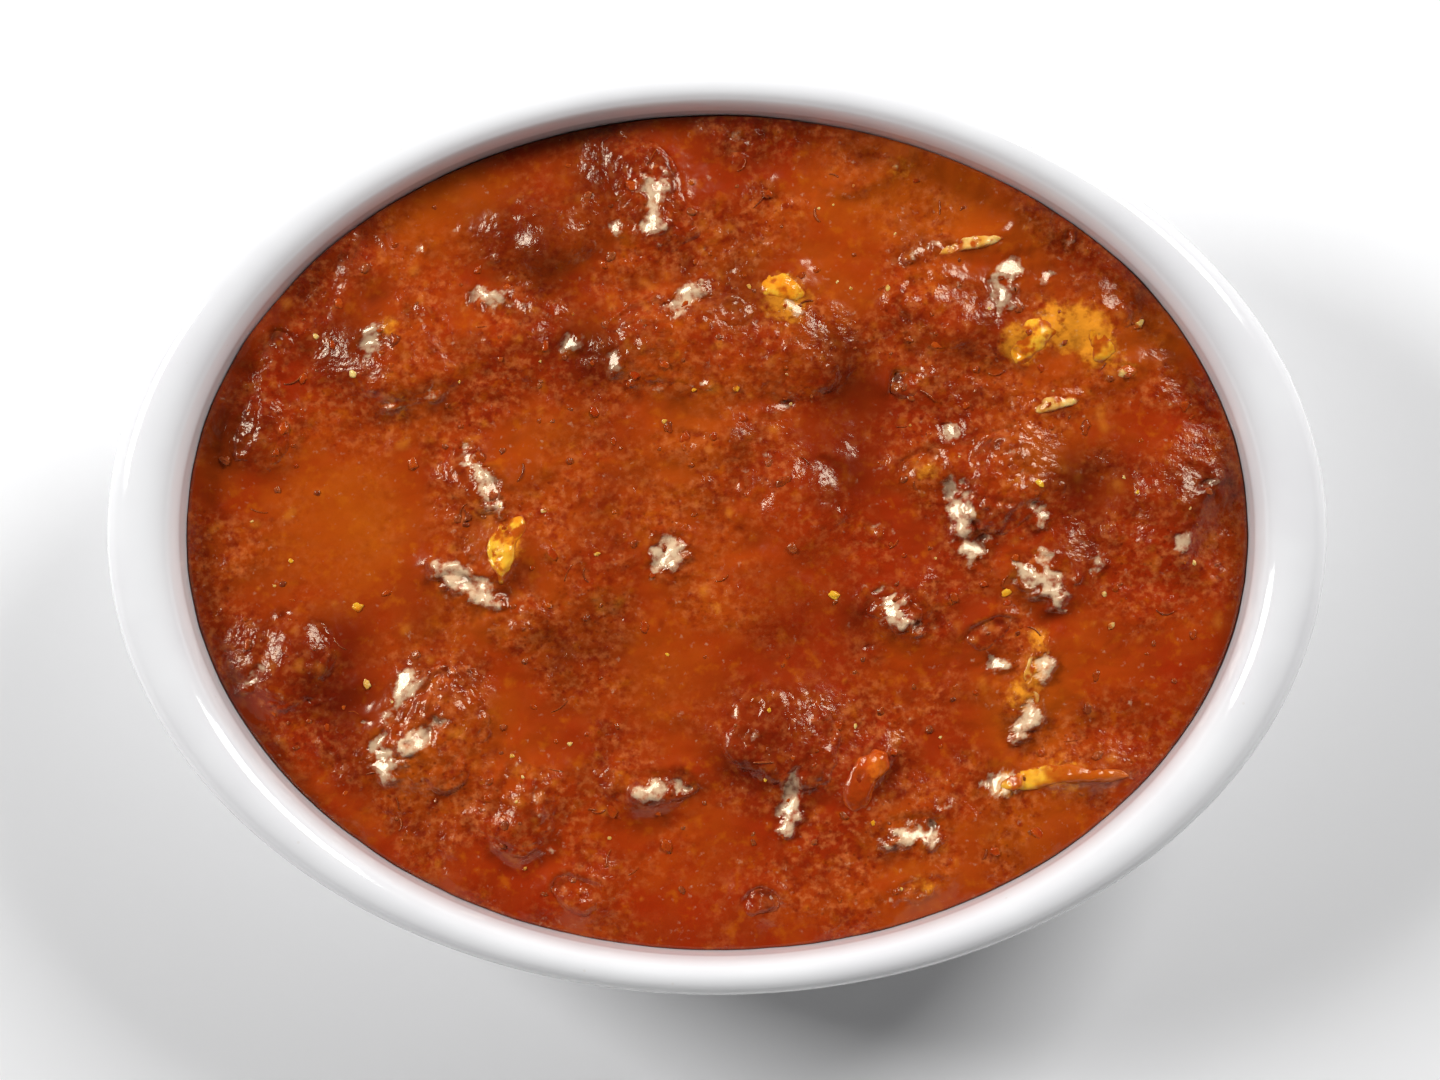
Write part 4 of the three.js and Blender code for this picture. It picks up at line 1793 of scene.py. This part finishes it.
@dataclass
class StewSurface:
    """The sauce as one body, from the floor of the dish up to its uneven top."""

    dish: OvalDish
    relief: Relief
    level: float
    clearance: float = 0.2
    cells: int = 290
    skirt_steps: int = 10
    bottom_gap: float = 0.4

    def build(self, finish: SauceFinish) -> bpy.types.Object:
        """Makes the sauce.

        Args:
            finish: how it looks.

        Returns:
            The sauce.
        """
        u, v = self._disc()
        wall = self._wall()
        x = u * wall[-1, 0]
        y = v * float(self.dish.side_radius(wall[-1:, 0])[0])
        z = self.relief.height.at(x, y)
        edge = self._edge()
        points = [np.stack([x, y, z], axis=1)]
        faces = self._grid_faces()
        upper = edge
        start = len(x)
        eu, ev = u[edge], v[edge]
        for radius, height in wall[-2::-1]:
            side = float(self.dish.side_radius(np.array([radius]))[0])
            ring = np.stack([eu * radius, ev * side, np.full(len(edge), height)], axis=1)
            points.append(ring)
            lower = np.arange(start, start + len(edge))
            start += len(edge)
            faces += self._band(upper, lower)
            upper = lower
        points.append(np.array([[0, 0, wall[0, 1]]]))
        faces += [(int(a), int(b), start)[::-1] for a, b in zip(upper, np.roll(upper, -1))]
        sauce = mesh_object("stew_sauce", np.vstack(points), faces, finish.material())
        x, y = points_of(sauce.data)[:, :2].T
        set_shares(sauce.data, self.relief.shares_at(x, y))
        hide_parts("sauce")
        return sauce

    def _wall(self) -> np.ndarray:
        """The sauce's side, from the floor up to its edge.

        Returns:
            Points as (radius, height), one row each.
        """
        inside = self.dish.curved(self.dish.inside())
        heights = np.linspace(self.dish.floor + self.bottom_gap, self.level, self.skirt_steps)
        radii = np.interp(heights, inside[:, 1], inside[:, 0]) - self.clearance
        return np.stack([radii, heights], axis=1)

    def _disc(self) -> tuple[np.ndarray, np.ndarray]:
        """A square grid drawn out evenly to a round disc.

        Returns:
            The disc's places along X and along Y, from -1 to 1.
        """
        side = np.linspace(-1, 1, self.cells)
        a, b = np.meshgrid(side, side)
        wide = np.abs(a) > np.abs(b)
        radius = np.where(wide, a, b)
        other = np.where(wide, b, a)
        angle = np.divide(other, radius, out=np.zeros_like(a), where=radius != 0) * math.pi / 4
        angle = np.where(wide, angle, math.pi / 2 - angle)
        return (radius * np.cos(angle)).ravel(), (radius * np.sin(angle)).ravel()

    def _grid_faces(self) -> Faces:
        """Faces of the grid, facing up.

        Returns:
            The corners of each face.
        """
        count = self.cells
        rows, columns = np.meshgrid(np.arange(count - 1), np.arange(count - 1), indexing="ij")
        low = (rows * count + columns).ravel()
        return np.stack([low, low + 1, low + count + 1, low + count], axis=1).tolist()

    def _edge(self) -> np.ndarray:
        """The grid's outermost points.

        Returns:
            Their numbers, in order round the disc.
        """
        count = self.cells
        bottom = np.arange(count - 1)
        right = (bottom + 1) * count - 1
        top = count * count - 1 - bottom
        left = (count - 1 - bottom) * count
        return np.concatenate([bottom, right, top, left])

    def _band(self, upper: np.ndarray, lower: np.ndarray) -> Faces:
        """Faces between two rings of the side, facing out.

        Args:
            upper: numbers of the upper ring's points.
            lower: numbers of the lower ring's points.

        Returns:
            The corners of each face.
        """
        nexts = np.roll(upper, -1), np.roll(lower, -1)
        return np.stack([upper, lower, nexts[1], nexts[0]], axis=1).tolist()


@dataclass(frozen=True)
class Cut:
    """How one chunk of beef looks.

    Attributes:
        grain: the turn of its fibres, in degrees.
        bare: how much of the meat shows through the sauce.
        tone_and_painted_shade: how dark its own tone is; it is laid on together with the painted shade
            of the sauce.
        rugged: how strong its relief is.
        film: how thick the sauce lies over it; below 0 it stands out.
    """

    grain: float
    bare: float = 0.35
    tone_and_painted_shade: float = 0.0
    rugged: float = 1.0
    film: float = 0.55


CUTS = {
    "beef_top": Cut(70, 0.4, 0.1, 0.6, 0.1),
    "beef_top_left": Cut(10, 0.3, 0.3),
    "beef_left_upper": Cut(30, 0.25, 0.0, 0.6, 1.0),
    "beef_upper_middle": Cut(-10, 0.2, 0.1, 0.5, 0.9),
    "beef_middle_fibrous": Cut(8, 0.75, 0.0, 1.2, -0.1),
    "beef_middle_end": Cut(40, 0.5, 0.05),
    "beef_right_upper": Cut(-20, 0.4, 0.1, 0.5, 1.0),
    "beef_right_knob": Cut(60, 0.6, 0.05, 1.1, -0.1),
    "beef_right_edge": Cut(76, 0.4, 0.15, 0.5, 1.1),
    "beef_right_top_edge": Cut(-44, 0.4, 0.0),
    "beef_centre": Cut(60, 0.15, 0.0, 0.6, 0.8),
    "beef_centre_low": Cut(-18, 0.1, 0.0, 0.5, 0.8),
    "beef_centre_left": Cut(33, 0.2, 0.05, 0.6, 0.8),
    "beef_left_lower": Cut(70, 0.6, 0.0, 1.1, -0.1),
    "beef_lower_left": Cut(80, 0.5, 0.1, 1.1),
    "beef_lower_middle": Cut(85, 0.5, 0.35, 1.2, 0.0),
    "beef_left_edge": Cut(64, 0.4, 0.15),
    "beef_left_edge_upper": Cut(80, 0.3, 0.3),
}
SMALL_CUT = Cut(0, 0.4, 0.0, 0.7, 0.8)

# How thick the sauce lies over a soft piece, in millimetres; below 0 the piece stands out.
SOFT_FILM = -0.3
SOFT_FILMS = {
    "strand_top_right": 0.5,
    "strand_right_upper": 0.25,
    "strand_right_middle": 0.0,
    "strand_right_tip": 0.25,
    "strand_right_lower": 0.3,
    "pepper_strip_right": -0.2,
    "pepper_right_upper": -0.2,
    "pepper_right_small": -0.1,
    "pepper_middle": -0.15,
}

# Where along X a soft piece fades into the sauce, as shares of its length.
FADES = {"pepper_strip_right": (0.2, 0.5)}


@dataclass
class Chunk:
    """One piece that stands in the sauce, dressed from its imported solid."""

    node: str
    relief: Relief
    cell: float = 0.45
    softening: int = 10

    def _shape(self) -> bpy.types.Mesh:
        """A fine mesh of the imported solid."""
        return refined(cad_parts[self.node], self.cell, self.softening)

    def _above(self, points: np.ndarray) -> np.ndarray:
        """How far each point stands above the sauce round it."""
        return points[:, 2] - self.relief.height.at(points[:, 0], points[:, 1])

    def _in_sight(self, points: np.ndarray) -> np.ndarray:
        """How much each point may be moved, 0 deep in the sauce."""
        return smooth_step(self._above(points), -1.5, 0.6)

    def _finish(
        self, mesh: bpy.types.Mesh, material: bpy.types.Material, slot: str
    ) -> bpy.types.Object:
        """Puts the mesh in the place of its node.

        Args:
            mesh: the finished mesh.
            material: its finish.
            slot: its slot in the library; not used.

        Returns:
            The piece.
        """
        mesh.polygons.foreach_set("use_smooth", [True] * len(mesh.polygons))
        mesh.materials.clear()
        mesh.materials.append(material)
        name = self.node + "_cooked"
        mesh.name = name
        piece = bpy.data.objects.new(name, mesh)
        bpy.context.scene.collection.objects.link(piece)
        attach(piece, BODY)
        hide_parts(self.node)
        return piece

    def _lifted(self, points: np.ndarray) -> np.ndarray:
        """Moves what stands in sight up or down with the sauce round it.

        Args:
            points: the piece's points.

        Returns:
            The moved points.
        """
        rise = self.relief.lift.at(points[:, 0], points[:, 1])
        lifted = points.copy()
        lifted[:, 2] += rise * smooth_step(self._above(points) + rise, -2.2, -0.5)
        return lifted


@dataclass
class BeefChunk(Chunk):
    """A chunk or crumb of braised beef."""

    cut: Cut = Cut(0)
    seed: int = 0

    def build(self, material: bpy.types.Material) -> bpy.types.Object:
        """Sculpts the chunk.

        Args:
            material: the finish of beef.

        Returns:
            The chunk.
        """
        mesh = self._shape()
        points = points_of(mesh)
        normals = normals_of(mesh)
        local = self._fibre_frame(points)
        bundles = CellNoise(self.seed).seams(local * np.array([0.09, 0.42, 0.42]))
        groove = 1 - smooth_step(bundles, 0.03, 0.34)
        groove *= smooth_step(SmoothNoise(self.seed + 3)(points, 6, 2), -0.35, 0.35)
        broad = SmoothNoise(self.seed + 1)(points, 6.5, 2)
        craggy = SmoothNoise(self.seed + 2)(local * np.array([0.45, 1, 1]), 2.1, 3)
        push = 0.4 * broad - 0.22 * groove + 0.16 * craggy
        push += 0.16 * SmoothNoise(self.seed + 4)(points, 1.5, 2)
        push *= self._in_sight(points) * self.cut.rugged
        points = points + normals * push[:, None]
        set_points(mesh, self._lifted(points))
        set_shares(mesh, self._shares(mesh, local, groove))
        return self._finish(mesh, material, "beef")

    def _fibre_frame(self, points: np.ndarray) -> np.ndarray:
        """Points as seen along and across the fibres.

        Args:
            points: the chunk's points.

        Returns:
            Their places along, across and up, one row each.
        """
        turn = math.radians(self.cut.grain)
        along = points[:, 0] * math.cos(turn) + points[:, 1] * math.sin(turn)
        across = points[:, 1] * math.cos(turn) - points[:, 0] * math.sin(turn)
        return np.stack([along, across, points[:, 2]], axis=1)

    def _shares(
        self, mesh: bpy.types.Mesh, local: np.ndarray, groove: np.ndarray
    ) -> dict[str, np.ndarray]:
        """What the finish of beef reads.

        Args:
            mesh: the sculpted chunk.
            local: its first points as seen along and across the fibres.
            groove: how deep in a groove each point is.

        Returns:
            One number for each vertex, by name.
        """
        points = points_of(mesh)
        high = smooth_step(self._above(points), 0.15, 1.1)
        patchy = smooth_step(SmoothNoise(self.seed + 5)(points, 5, 2), -0.5, 0.5)
        shares = self.relief.shares_at(points[:, 0], points[:, 1])
        # The chunk's own darker tone, taken together with the painted shade of the sauce.
        shares["tone_and_painted_shade"] = 1 - (1 - self.cut.tone_and_painted_shade * high) * (1 - shares["tone_and_painted_shade"])
        shares["crumb"] = shares["crumb"] * smooth_step(normals_of(mesh)[:, 2], 0.2, 0.7)
        shares["bare"] = self.cut.bare * high * (0.15 + 0.85 * patchy)
        shares["groove"] = groove * high * (0.35 + 0.65 * patchy)
        for name, column in zip(("along", "across", "upward"), local.T):
            shares[name] = column * MM
        return shares


@dataclass
class SoftChunk(Chunk):
    """A piece of pepper or onion, smooth and slightly wrinkled."""

    slot: str = "yellow_pepper"
    seed: int = 0

    def build(self, material: bpy.types.Material) -> bpy.types.Object:
        """Sculpts the piece.

        Args:
            material: its finish.

        Returns:
            The piece.
        """
        mesh = self._shape()
        points = points_of(mesh)
        normals = normals_of(mesh)
        push = 0.35 * SmoothNoise(self.seed)(points, 4.5, 2)
        push += 0.14 * SmoothNoise(self.seed + 1)(points, 1.6, 2)
        push *= self._in_sight(points)
        points = points + normals * push[:, None]
        set_points(mesh, self._lifted(points))
        smear = 0.25 * SmoothNoise(self.seed + 2)(points, 2.0, 3)
        sunk = 1 - smooth_step(self._above(points_of(mesh)) + smear, -0.05, 0.35)
        if self.node in FADES:
            x = points[:, 0]
            along = (x - x.min()) / (x.max() - x.min()) + 0.4 * smear
            sunk = np.maximum(sunk, 0.85 * smooth_step(along, *FADES[self.node]))
        wet = self.relief.shares["wet"].at(points[:, 0], points[:, 1])
        set_shares(mesh, {"sunk": sunk, "wet": wet})
        return self._finish(mesh, material, self.slot)


@dataclass
class Bits:
    """One kind of small bit strewn over the stew, joined to one mesh."""

    kind: BitKind
    seed: int
    sinking: float = 0.9
    roughness: float = 0.5

    def build(
        self, tops: Tops, rows: np.ndarray, material: bpy.types.Material
    ) -> bpy.types.Object:
        """Strews the bits.

        Args:
            tops: the surface that they lie on.
            rows: place, size, turn and stretch of each.
            material: their finish.

        Returns:
            The bits.
        """
        unit, faces = self._blob()
        noise = SmoothNoise(self.seed)
        ground = tops.heights(rows[:, 0], rows[:, 1])
        flatness = self.kind.flatness
        points = []
        for number, ((px, py, size, turn, stretch), pz) in enumerate(zip(rows, ground)):
            rough = 1 + self.roughness * noise(unit + 31.0 * number, 1.1, 3)
            shape = unit * rough[:, None] * np.array([stretch, 1, flatness]) * size
            ahead, aside = math.cos(turn), math.sin(turn)
            spin = np.array([[ahead, aside, 0], [-aside, ahead, 0], [0, 0, 1]])
            lift = pz + size * flatness * (1 - self.sinking)
            points.append(shape @ spin + np.array([px, py, lift]))
        starts = np.arange(len(rows))[:, None, None] * len(unit)
        corners = (faces[None] + starts).reshape(-1, 3)
        piece = mesh_object(self.kind.name, np.vstack(points), corners, material)
        set_shares(piece.data, {"sunk": np.zeros(len(piece.data.vertices))})
        return piece

    def _blob(self) -> tuple[np.ndarray, np.ndarray]:
        """A round bit of radius 1.

        Returns:
            Its points, and the corners of each face.
        """
        made = bmesh.new()
        bmesh.ops.create_icosphere(made, subdivisions=3, radius=1.0)
        points = np.array([v.co[:] for v in made.verts])
        faces = np.array([[v.index for v in f.verts] for f in made.faces])
        made.free()
        return points, faces


@dataclass
class MeatFibres:
    """Thin shreds of beef that lie over the stew."""

    count: int = 40
    sides: int = 5
    steps: int = 9
    rim_gap: float = 4.0
    seed: int = 71

    def build(
        self, tops: Tops, dish: OvalDish, calm: Plan, material: bpy.types.Material
    ) -> bpy.types.Object:
        """Strews the fibres.

        Args:
            tops: the surface that they lie on.
            dish: the dish that they stay within.
            calm: where few of them lie.
            material: their finish.

        Returns:
            The fibres.
        """
        rng = np.random.default_rng(self.seed)
        points: list[np.ndarray] = []
        faces: Faces = []
        start = 0
        for _ in range(self.count):
            line, thickness = self._line(rng, tops, dish, calm)
            if np.isnan(line).any():
                continue
            points.append(self._tube(line, thickness))
            faces += self._tube_faces(start)
            start += self.sides * self.steps + 2
        piece = mesh_object("meat_fibres", np.vstack(points), faces, material)
        set_shares(piece.data, {"sunk": np.zeros(len(piece.data.vertices))})
        return piece

    def _line(
        self, rng: np.random.Generator, tops: Tops, dish: OvalDish, calm: Plan
    ) -> tuple[np.ndarray, float]:
        """One fibre.

        Args:
            rng: where the chance comes from.
            tops: the surface that it lies on.
            dish: the dish that it stays within.
            calm: where few fibres lie.

        Returns:
            Its course and how thick it is.
        """
        while True:
            px, py = rng.uniform(-1, 1, 2)
            if px * px + py * py > 0.93:
                continue
            px *= dish.mouth_length / 2 - self.rim_gap
            py *= dish.mouth_width / 2 - self.rim_gap
            if rng.random() > 0.9 * calm.there(px, py):
                break
        length = rng.uniform(1.2, 3.6)
        turn = rng.uniform(0, 2 * math.pi) + rng.uniform(-0.9, 0.9) * np.linspace(-1, 1, self.steps)
        step = length / (self.steps - 1)
        x = px + np.cumsum(np.cos(turn)) * step - np.cos(turn).sum() * step / 2
        y = py + np.cumsum(np.sin(turn)) * step - np.sin(turn).sum() * step / 2
        ground = tops.heights(x, y)
        ends = ground[0] + (ground[-1] - ground[0]) * np.linspace(0, 1, self.steps)
        thickness = rng.uniform(0.09, 0.2)
        z = np.maximum(ground, 0.7 * ground + 0.3 * ends) + 0.25 * thickness
        return np.stack([x, y, z], axis=1), thickness

    def _tube(self, line: np.ndarray, thickness: float) -> np.ndarray:
        """A tube round a line, thin at its ends.

        Args:
            line: its course, one point a row.
            thickness: its radius in the middle.

        Returns:
            Its points.
        """
        ahead = np.gradient(line, axis=0)
        ahead /= np.linalg.norm(ahead, axis=1)[:, None]
        side = np.cross(ahead, [0, 0, 1.0])
        side /= np.maximum(np.linalg.norm(side, axis=1), 1e-6)[:, None]
        up = np.cross(side, ahead)
        taper = thickness * np.sin(np.linspace(0.35, math.pi - 0.35, self.steps)) ** 0.5
        angles = np.arange(self.sides) * 2 * math.pi / self.sides
        rings = [
            centre + r * (np.outer(np.cos(angles), s) + np.outer(np.sin(angles), u))
            for centre, r, s, u in zip(line, taper, side, up)
        ]
        return np.vstack([*rings, line[:1], line[-1:]])

    def _tube_faces(self, start: int) -> Faces:
        """Faces of one tube.

        Args:
            start: number of its first point.

        Returns:
            The corners of each face.
        """
        count = self.sides
        faces: Faces = []
        for ring in range(self.steps - 1):
            for i in range(count):
                j = (i + 1) % count
                low, high = start + ring * count, start + (ring + 1) * count
                faces.append((low + i, high + i, high + j, low + j))
        first = start + self.steps * count
        last = start + (self.steps - 1) * count
        for i in range(count):
            j = (i + 1) % count
            faces.append((first, start + i, start + j))
            faces.append((first + 1, last + j, last + i))
        return faces


# ------------------------------------------------------------------------------------ studio


@dataclass
class Studio:
    """The floor, the lamps and the camera that looks straight down on the dish."""

    lens: float = 100.0
    sensor: float = 36.0
    sight: tuple[float, float] = (10.0, 20000.0)
    floor_half: float = 3000.0
    wall_edge: tuple[float, float] = (0.1, 0.42)
    wall_light: float = 1.15
    ceiling_light: float = 0.035
    sizes: dict[Side, float] = field(default_factory=lambda: {Side.LEFT: 330, Side.RIGHT: 450})
    powers: dict[Side, float] = field(default_factory=lambda: {Side.LEFT: 9.3, Side.RIGHT: 11.4})

    def build(self) -> None:
        """Makes the floor, the lamps, the surroundings and the camera."""
        self._floor()
        for side, place in LAMP_PLACES.items():
            self._lamp(side, place)
        self._surroundings()
        self._camera()
        bpy.context.scene.view_settings.view_transform = "Standard"

    def _camera(self) -> None:
        """A camera that looks straight down."""
        camera = bpy.data.cameras.new("camera")
        camera.lens = self.lens
        camera.sensor_width = self.sensor
        camera.clip_start, camera.clip_end = (reach * MM for reach in self.sight)
        holder = bpy.data.objects.new("camera", camera)
        holder.location = Vector(EYE) * MM
        bpy.context.scene.collection.objects.link(holder)
        bpy.context.scene.camera = holder

    def _floor(self) -> None:
        """A wide plain floor under the dish."""
        half = self.floor_half * MM
        mesh = bpy.data.meshes.new("floor")
        corners = [(-half, -half, 0), (half, -half, 0), (half, half, 0), (-half, half, 0)]
        mesh.from_pydata(corners, [], [(0, 1, 2, 3)])
        mesh.materials.append(PaleFloor().material())
        floor = bpy.data.objects.new("floor", mesh)
        bpy.context.scene.collection.objects.link(floor)

    def _lamp(self, side: Side, place: tuple[float, float, float]) -> None:
        """A square softbox that points at the dish.

        Args:
            side: which lamp it is.
            place: where it hangs, in millimetres.
        """
        light = bpy.data.lights.new("softbox_" + side.value, "AREA")
        light.shape = "SQUARE"
        light.size = self.sizes[side] * MM
        light.energy = self.powers[side]
        lamp = bpy.data.objects.new("softbox_" + side.value, light)
        lamp.location = Vector(place) * MM
        lamp.rotation_euler = Vector(place).to_track_quat("Z", "Y").to_euler()
        bpy.context.scene.collection.objects.link(lamp)

    def _surroundings(self) -> None:
        """Pale walls round a darker ceiling."""
        world = bpy.data.worlds.new("surroundings")
        bpy.context.scene.world = world
        world.use_nodes = True
        tree = world.node_tree
        tree.nodes.clear()
        place = tree.nodes.new("ShaderNodeTexCoord")
        split = tree.nodes.new("ShaderNodeSeparateXYZ")
        level = tree.nodes.new("ShaderNodeMapRange")
        level.interpolation_type = "SMOOTHSTEP"
        background = tree.nodes.new("ShaderNodeBackground")
        output = tree.nodes.new("ShaderNodeOutputWorld")
        numbers = (*self.wall_edge, self.wall_light, self.ceiling_light)
        for index, number in enumerate(numbers, start=1):
            level.inputs[index].default_value = number
        tree.links.new(place.outputs["Generated"], split.inputs[0])
        tree.links.new(split.outputs[2], level.inputs[0])
        tree.links.new(level.outputs[0], background.inputs["Strength"])
        tree.links.new(background.outputs[0], output.inputs[0])


# ------------------------------------------------------------------------------------ main


def main() -> None:
    """Builds the dish, what is in it and the studio round it."""
    logging.basicConfig(level=logging.INFO, format="%(name)s: %(message)s")
    studio = Studio()
    studio.build()
    low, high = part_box("dish")
    size = (high - low) / MM
    dish = OvalDish(size.x, size.y, size.z)
    made = [dish.build(Glaze())]
    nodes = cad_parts
    food = [name for name in nodes if name not in ("dish", "sauce")]
    tender = [nodes[name] for name in food if not name.startswith("beef")]
    relief = Relief(nodes["sauce"], {nodes[name]: film_over(name) for name in food}, tender)
    surface = StewSurface(dish, relief, SAUCE_LEVEL)
    made.append(surface.build(SauceFinish()))
    made += build_chunks(food, relief)
    tops = Tops([piece.data for piece in made[1:]])
    made += build_scatter(tops, dish, relief)
    for piece in made:
        log.info("%s: %d faces", piece.name, len(piece.data.polygons))


def film_over(node: str) -> float:
    """How thick the sauce lies over a piece.

    Args:
        node: the piece's name.

    Returns:
        The thickness in millimetres; below 0 the piece stands out.
    """
    if node.startswith("beef"):
        return CUTS[node].film if node in CUTS else SMALL_CUT.film
    return SOFT_FILMS.get(node, SOFT_FILM)


def build_chunks(food: list[str], relief: Relief) -> list[bpy.types.Object]:
    """Dresses each piece of beef, pepper and onion.

    Args:
        food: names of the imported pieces.
        relief: the sauce's surface.

    Returns:
        The pieces.
    """
    beef = BeefFinish().material()
    soft = {
        "pepper": ("yellow_pepper", YELLOW_PEPPER.material()),
        "red_pepper": ("red_pepper", RED_PEPPER.material()),
        "strand": ("onion", ONION.material()),
    }
    made = []
    for number, node in enumerate(sorted(food)):
        seed = 100 + 10 * number
        if node.startswith("beef"):
            cut = CUTS.get(node, replace(SMALL_CUT, grain=37.0 * number))
            made.append(BeefChunk(node, relief, cut=cut, seed=seed).build(beef))
            continue
        kind = "red_pepper" if node.startswith("red") else node.split("_")[0]
        slot, material = soft[kind]
        made.append(SoftChunk(node, relief, cell=0.35, slot=slot, seed=seed).build(material))
    return made


def build_scatter(tops: Tops, dish: OvalDish, relief: Relief) -> list[bpy.types.Object]:
    """Strews crumbs, pulp, onion and fibres over the stew.

    Args:
        tops: the surface that they lie on.
        dish: the dish.
        relief: the sauce's surface.

    Returns:
        The pieces, one for each kind.
    """
    finishes = {"beef": CRUMB, "sauce": PULP, "onion": ONION, "yellow_pepper": YELLOW_PEPPER}
    made = [
        Bits(kind, seed).build(tops, relief.bits[kind.name], finishes[kind.slot].material())
        for seed, kind in enumerate(BIT_KINDS, start=11)
    ]
    made.append(MeatFibres().build(tops, dish, relief.calm, CRUMB.material()))
    return made


if __name__ == "__main__":
    main()
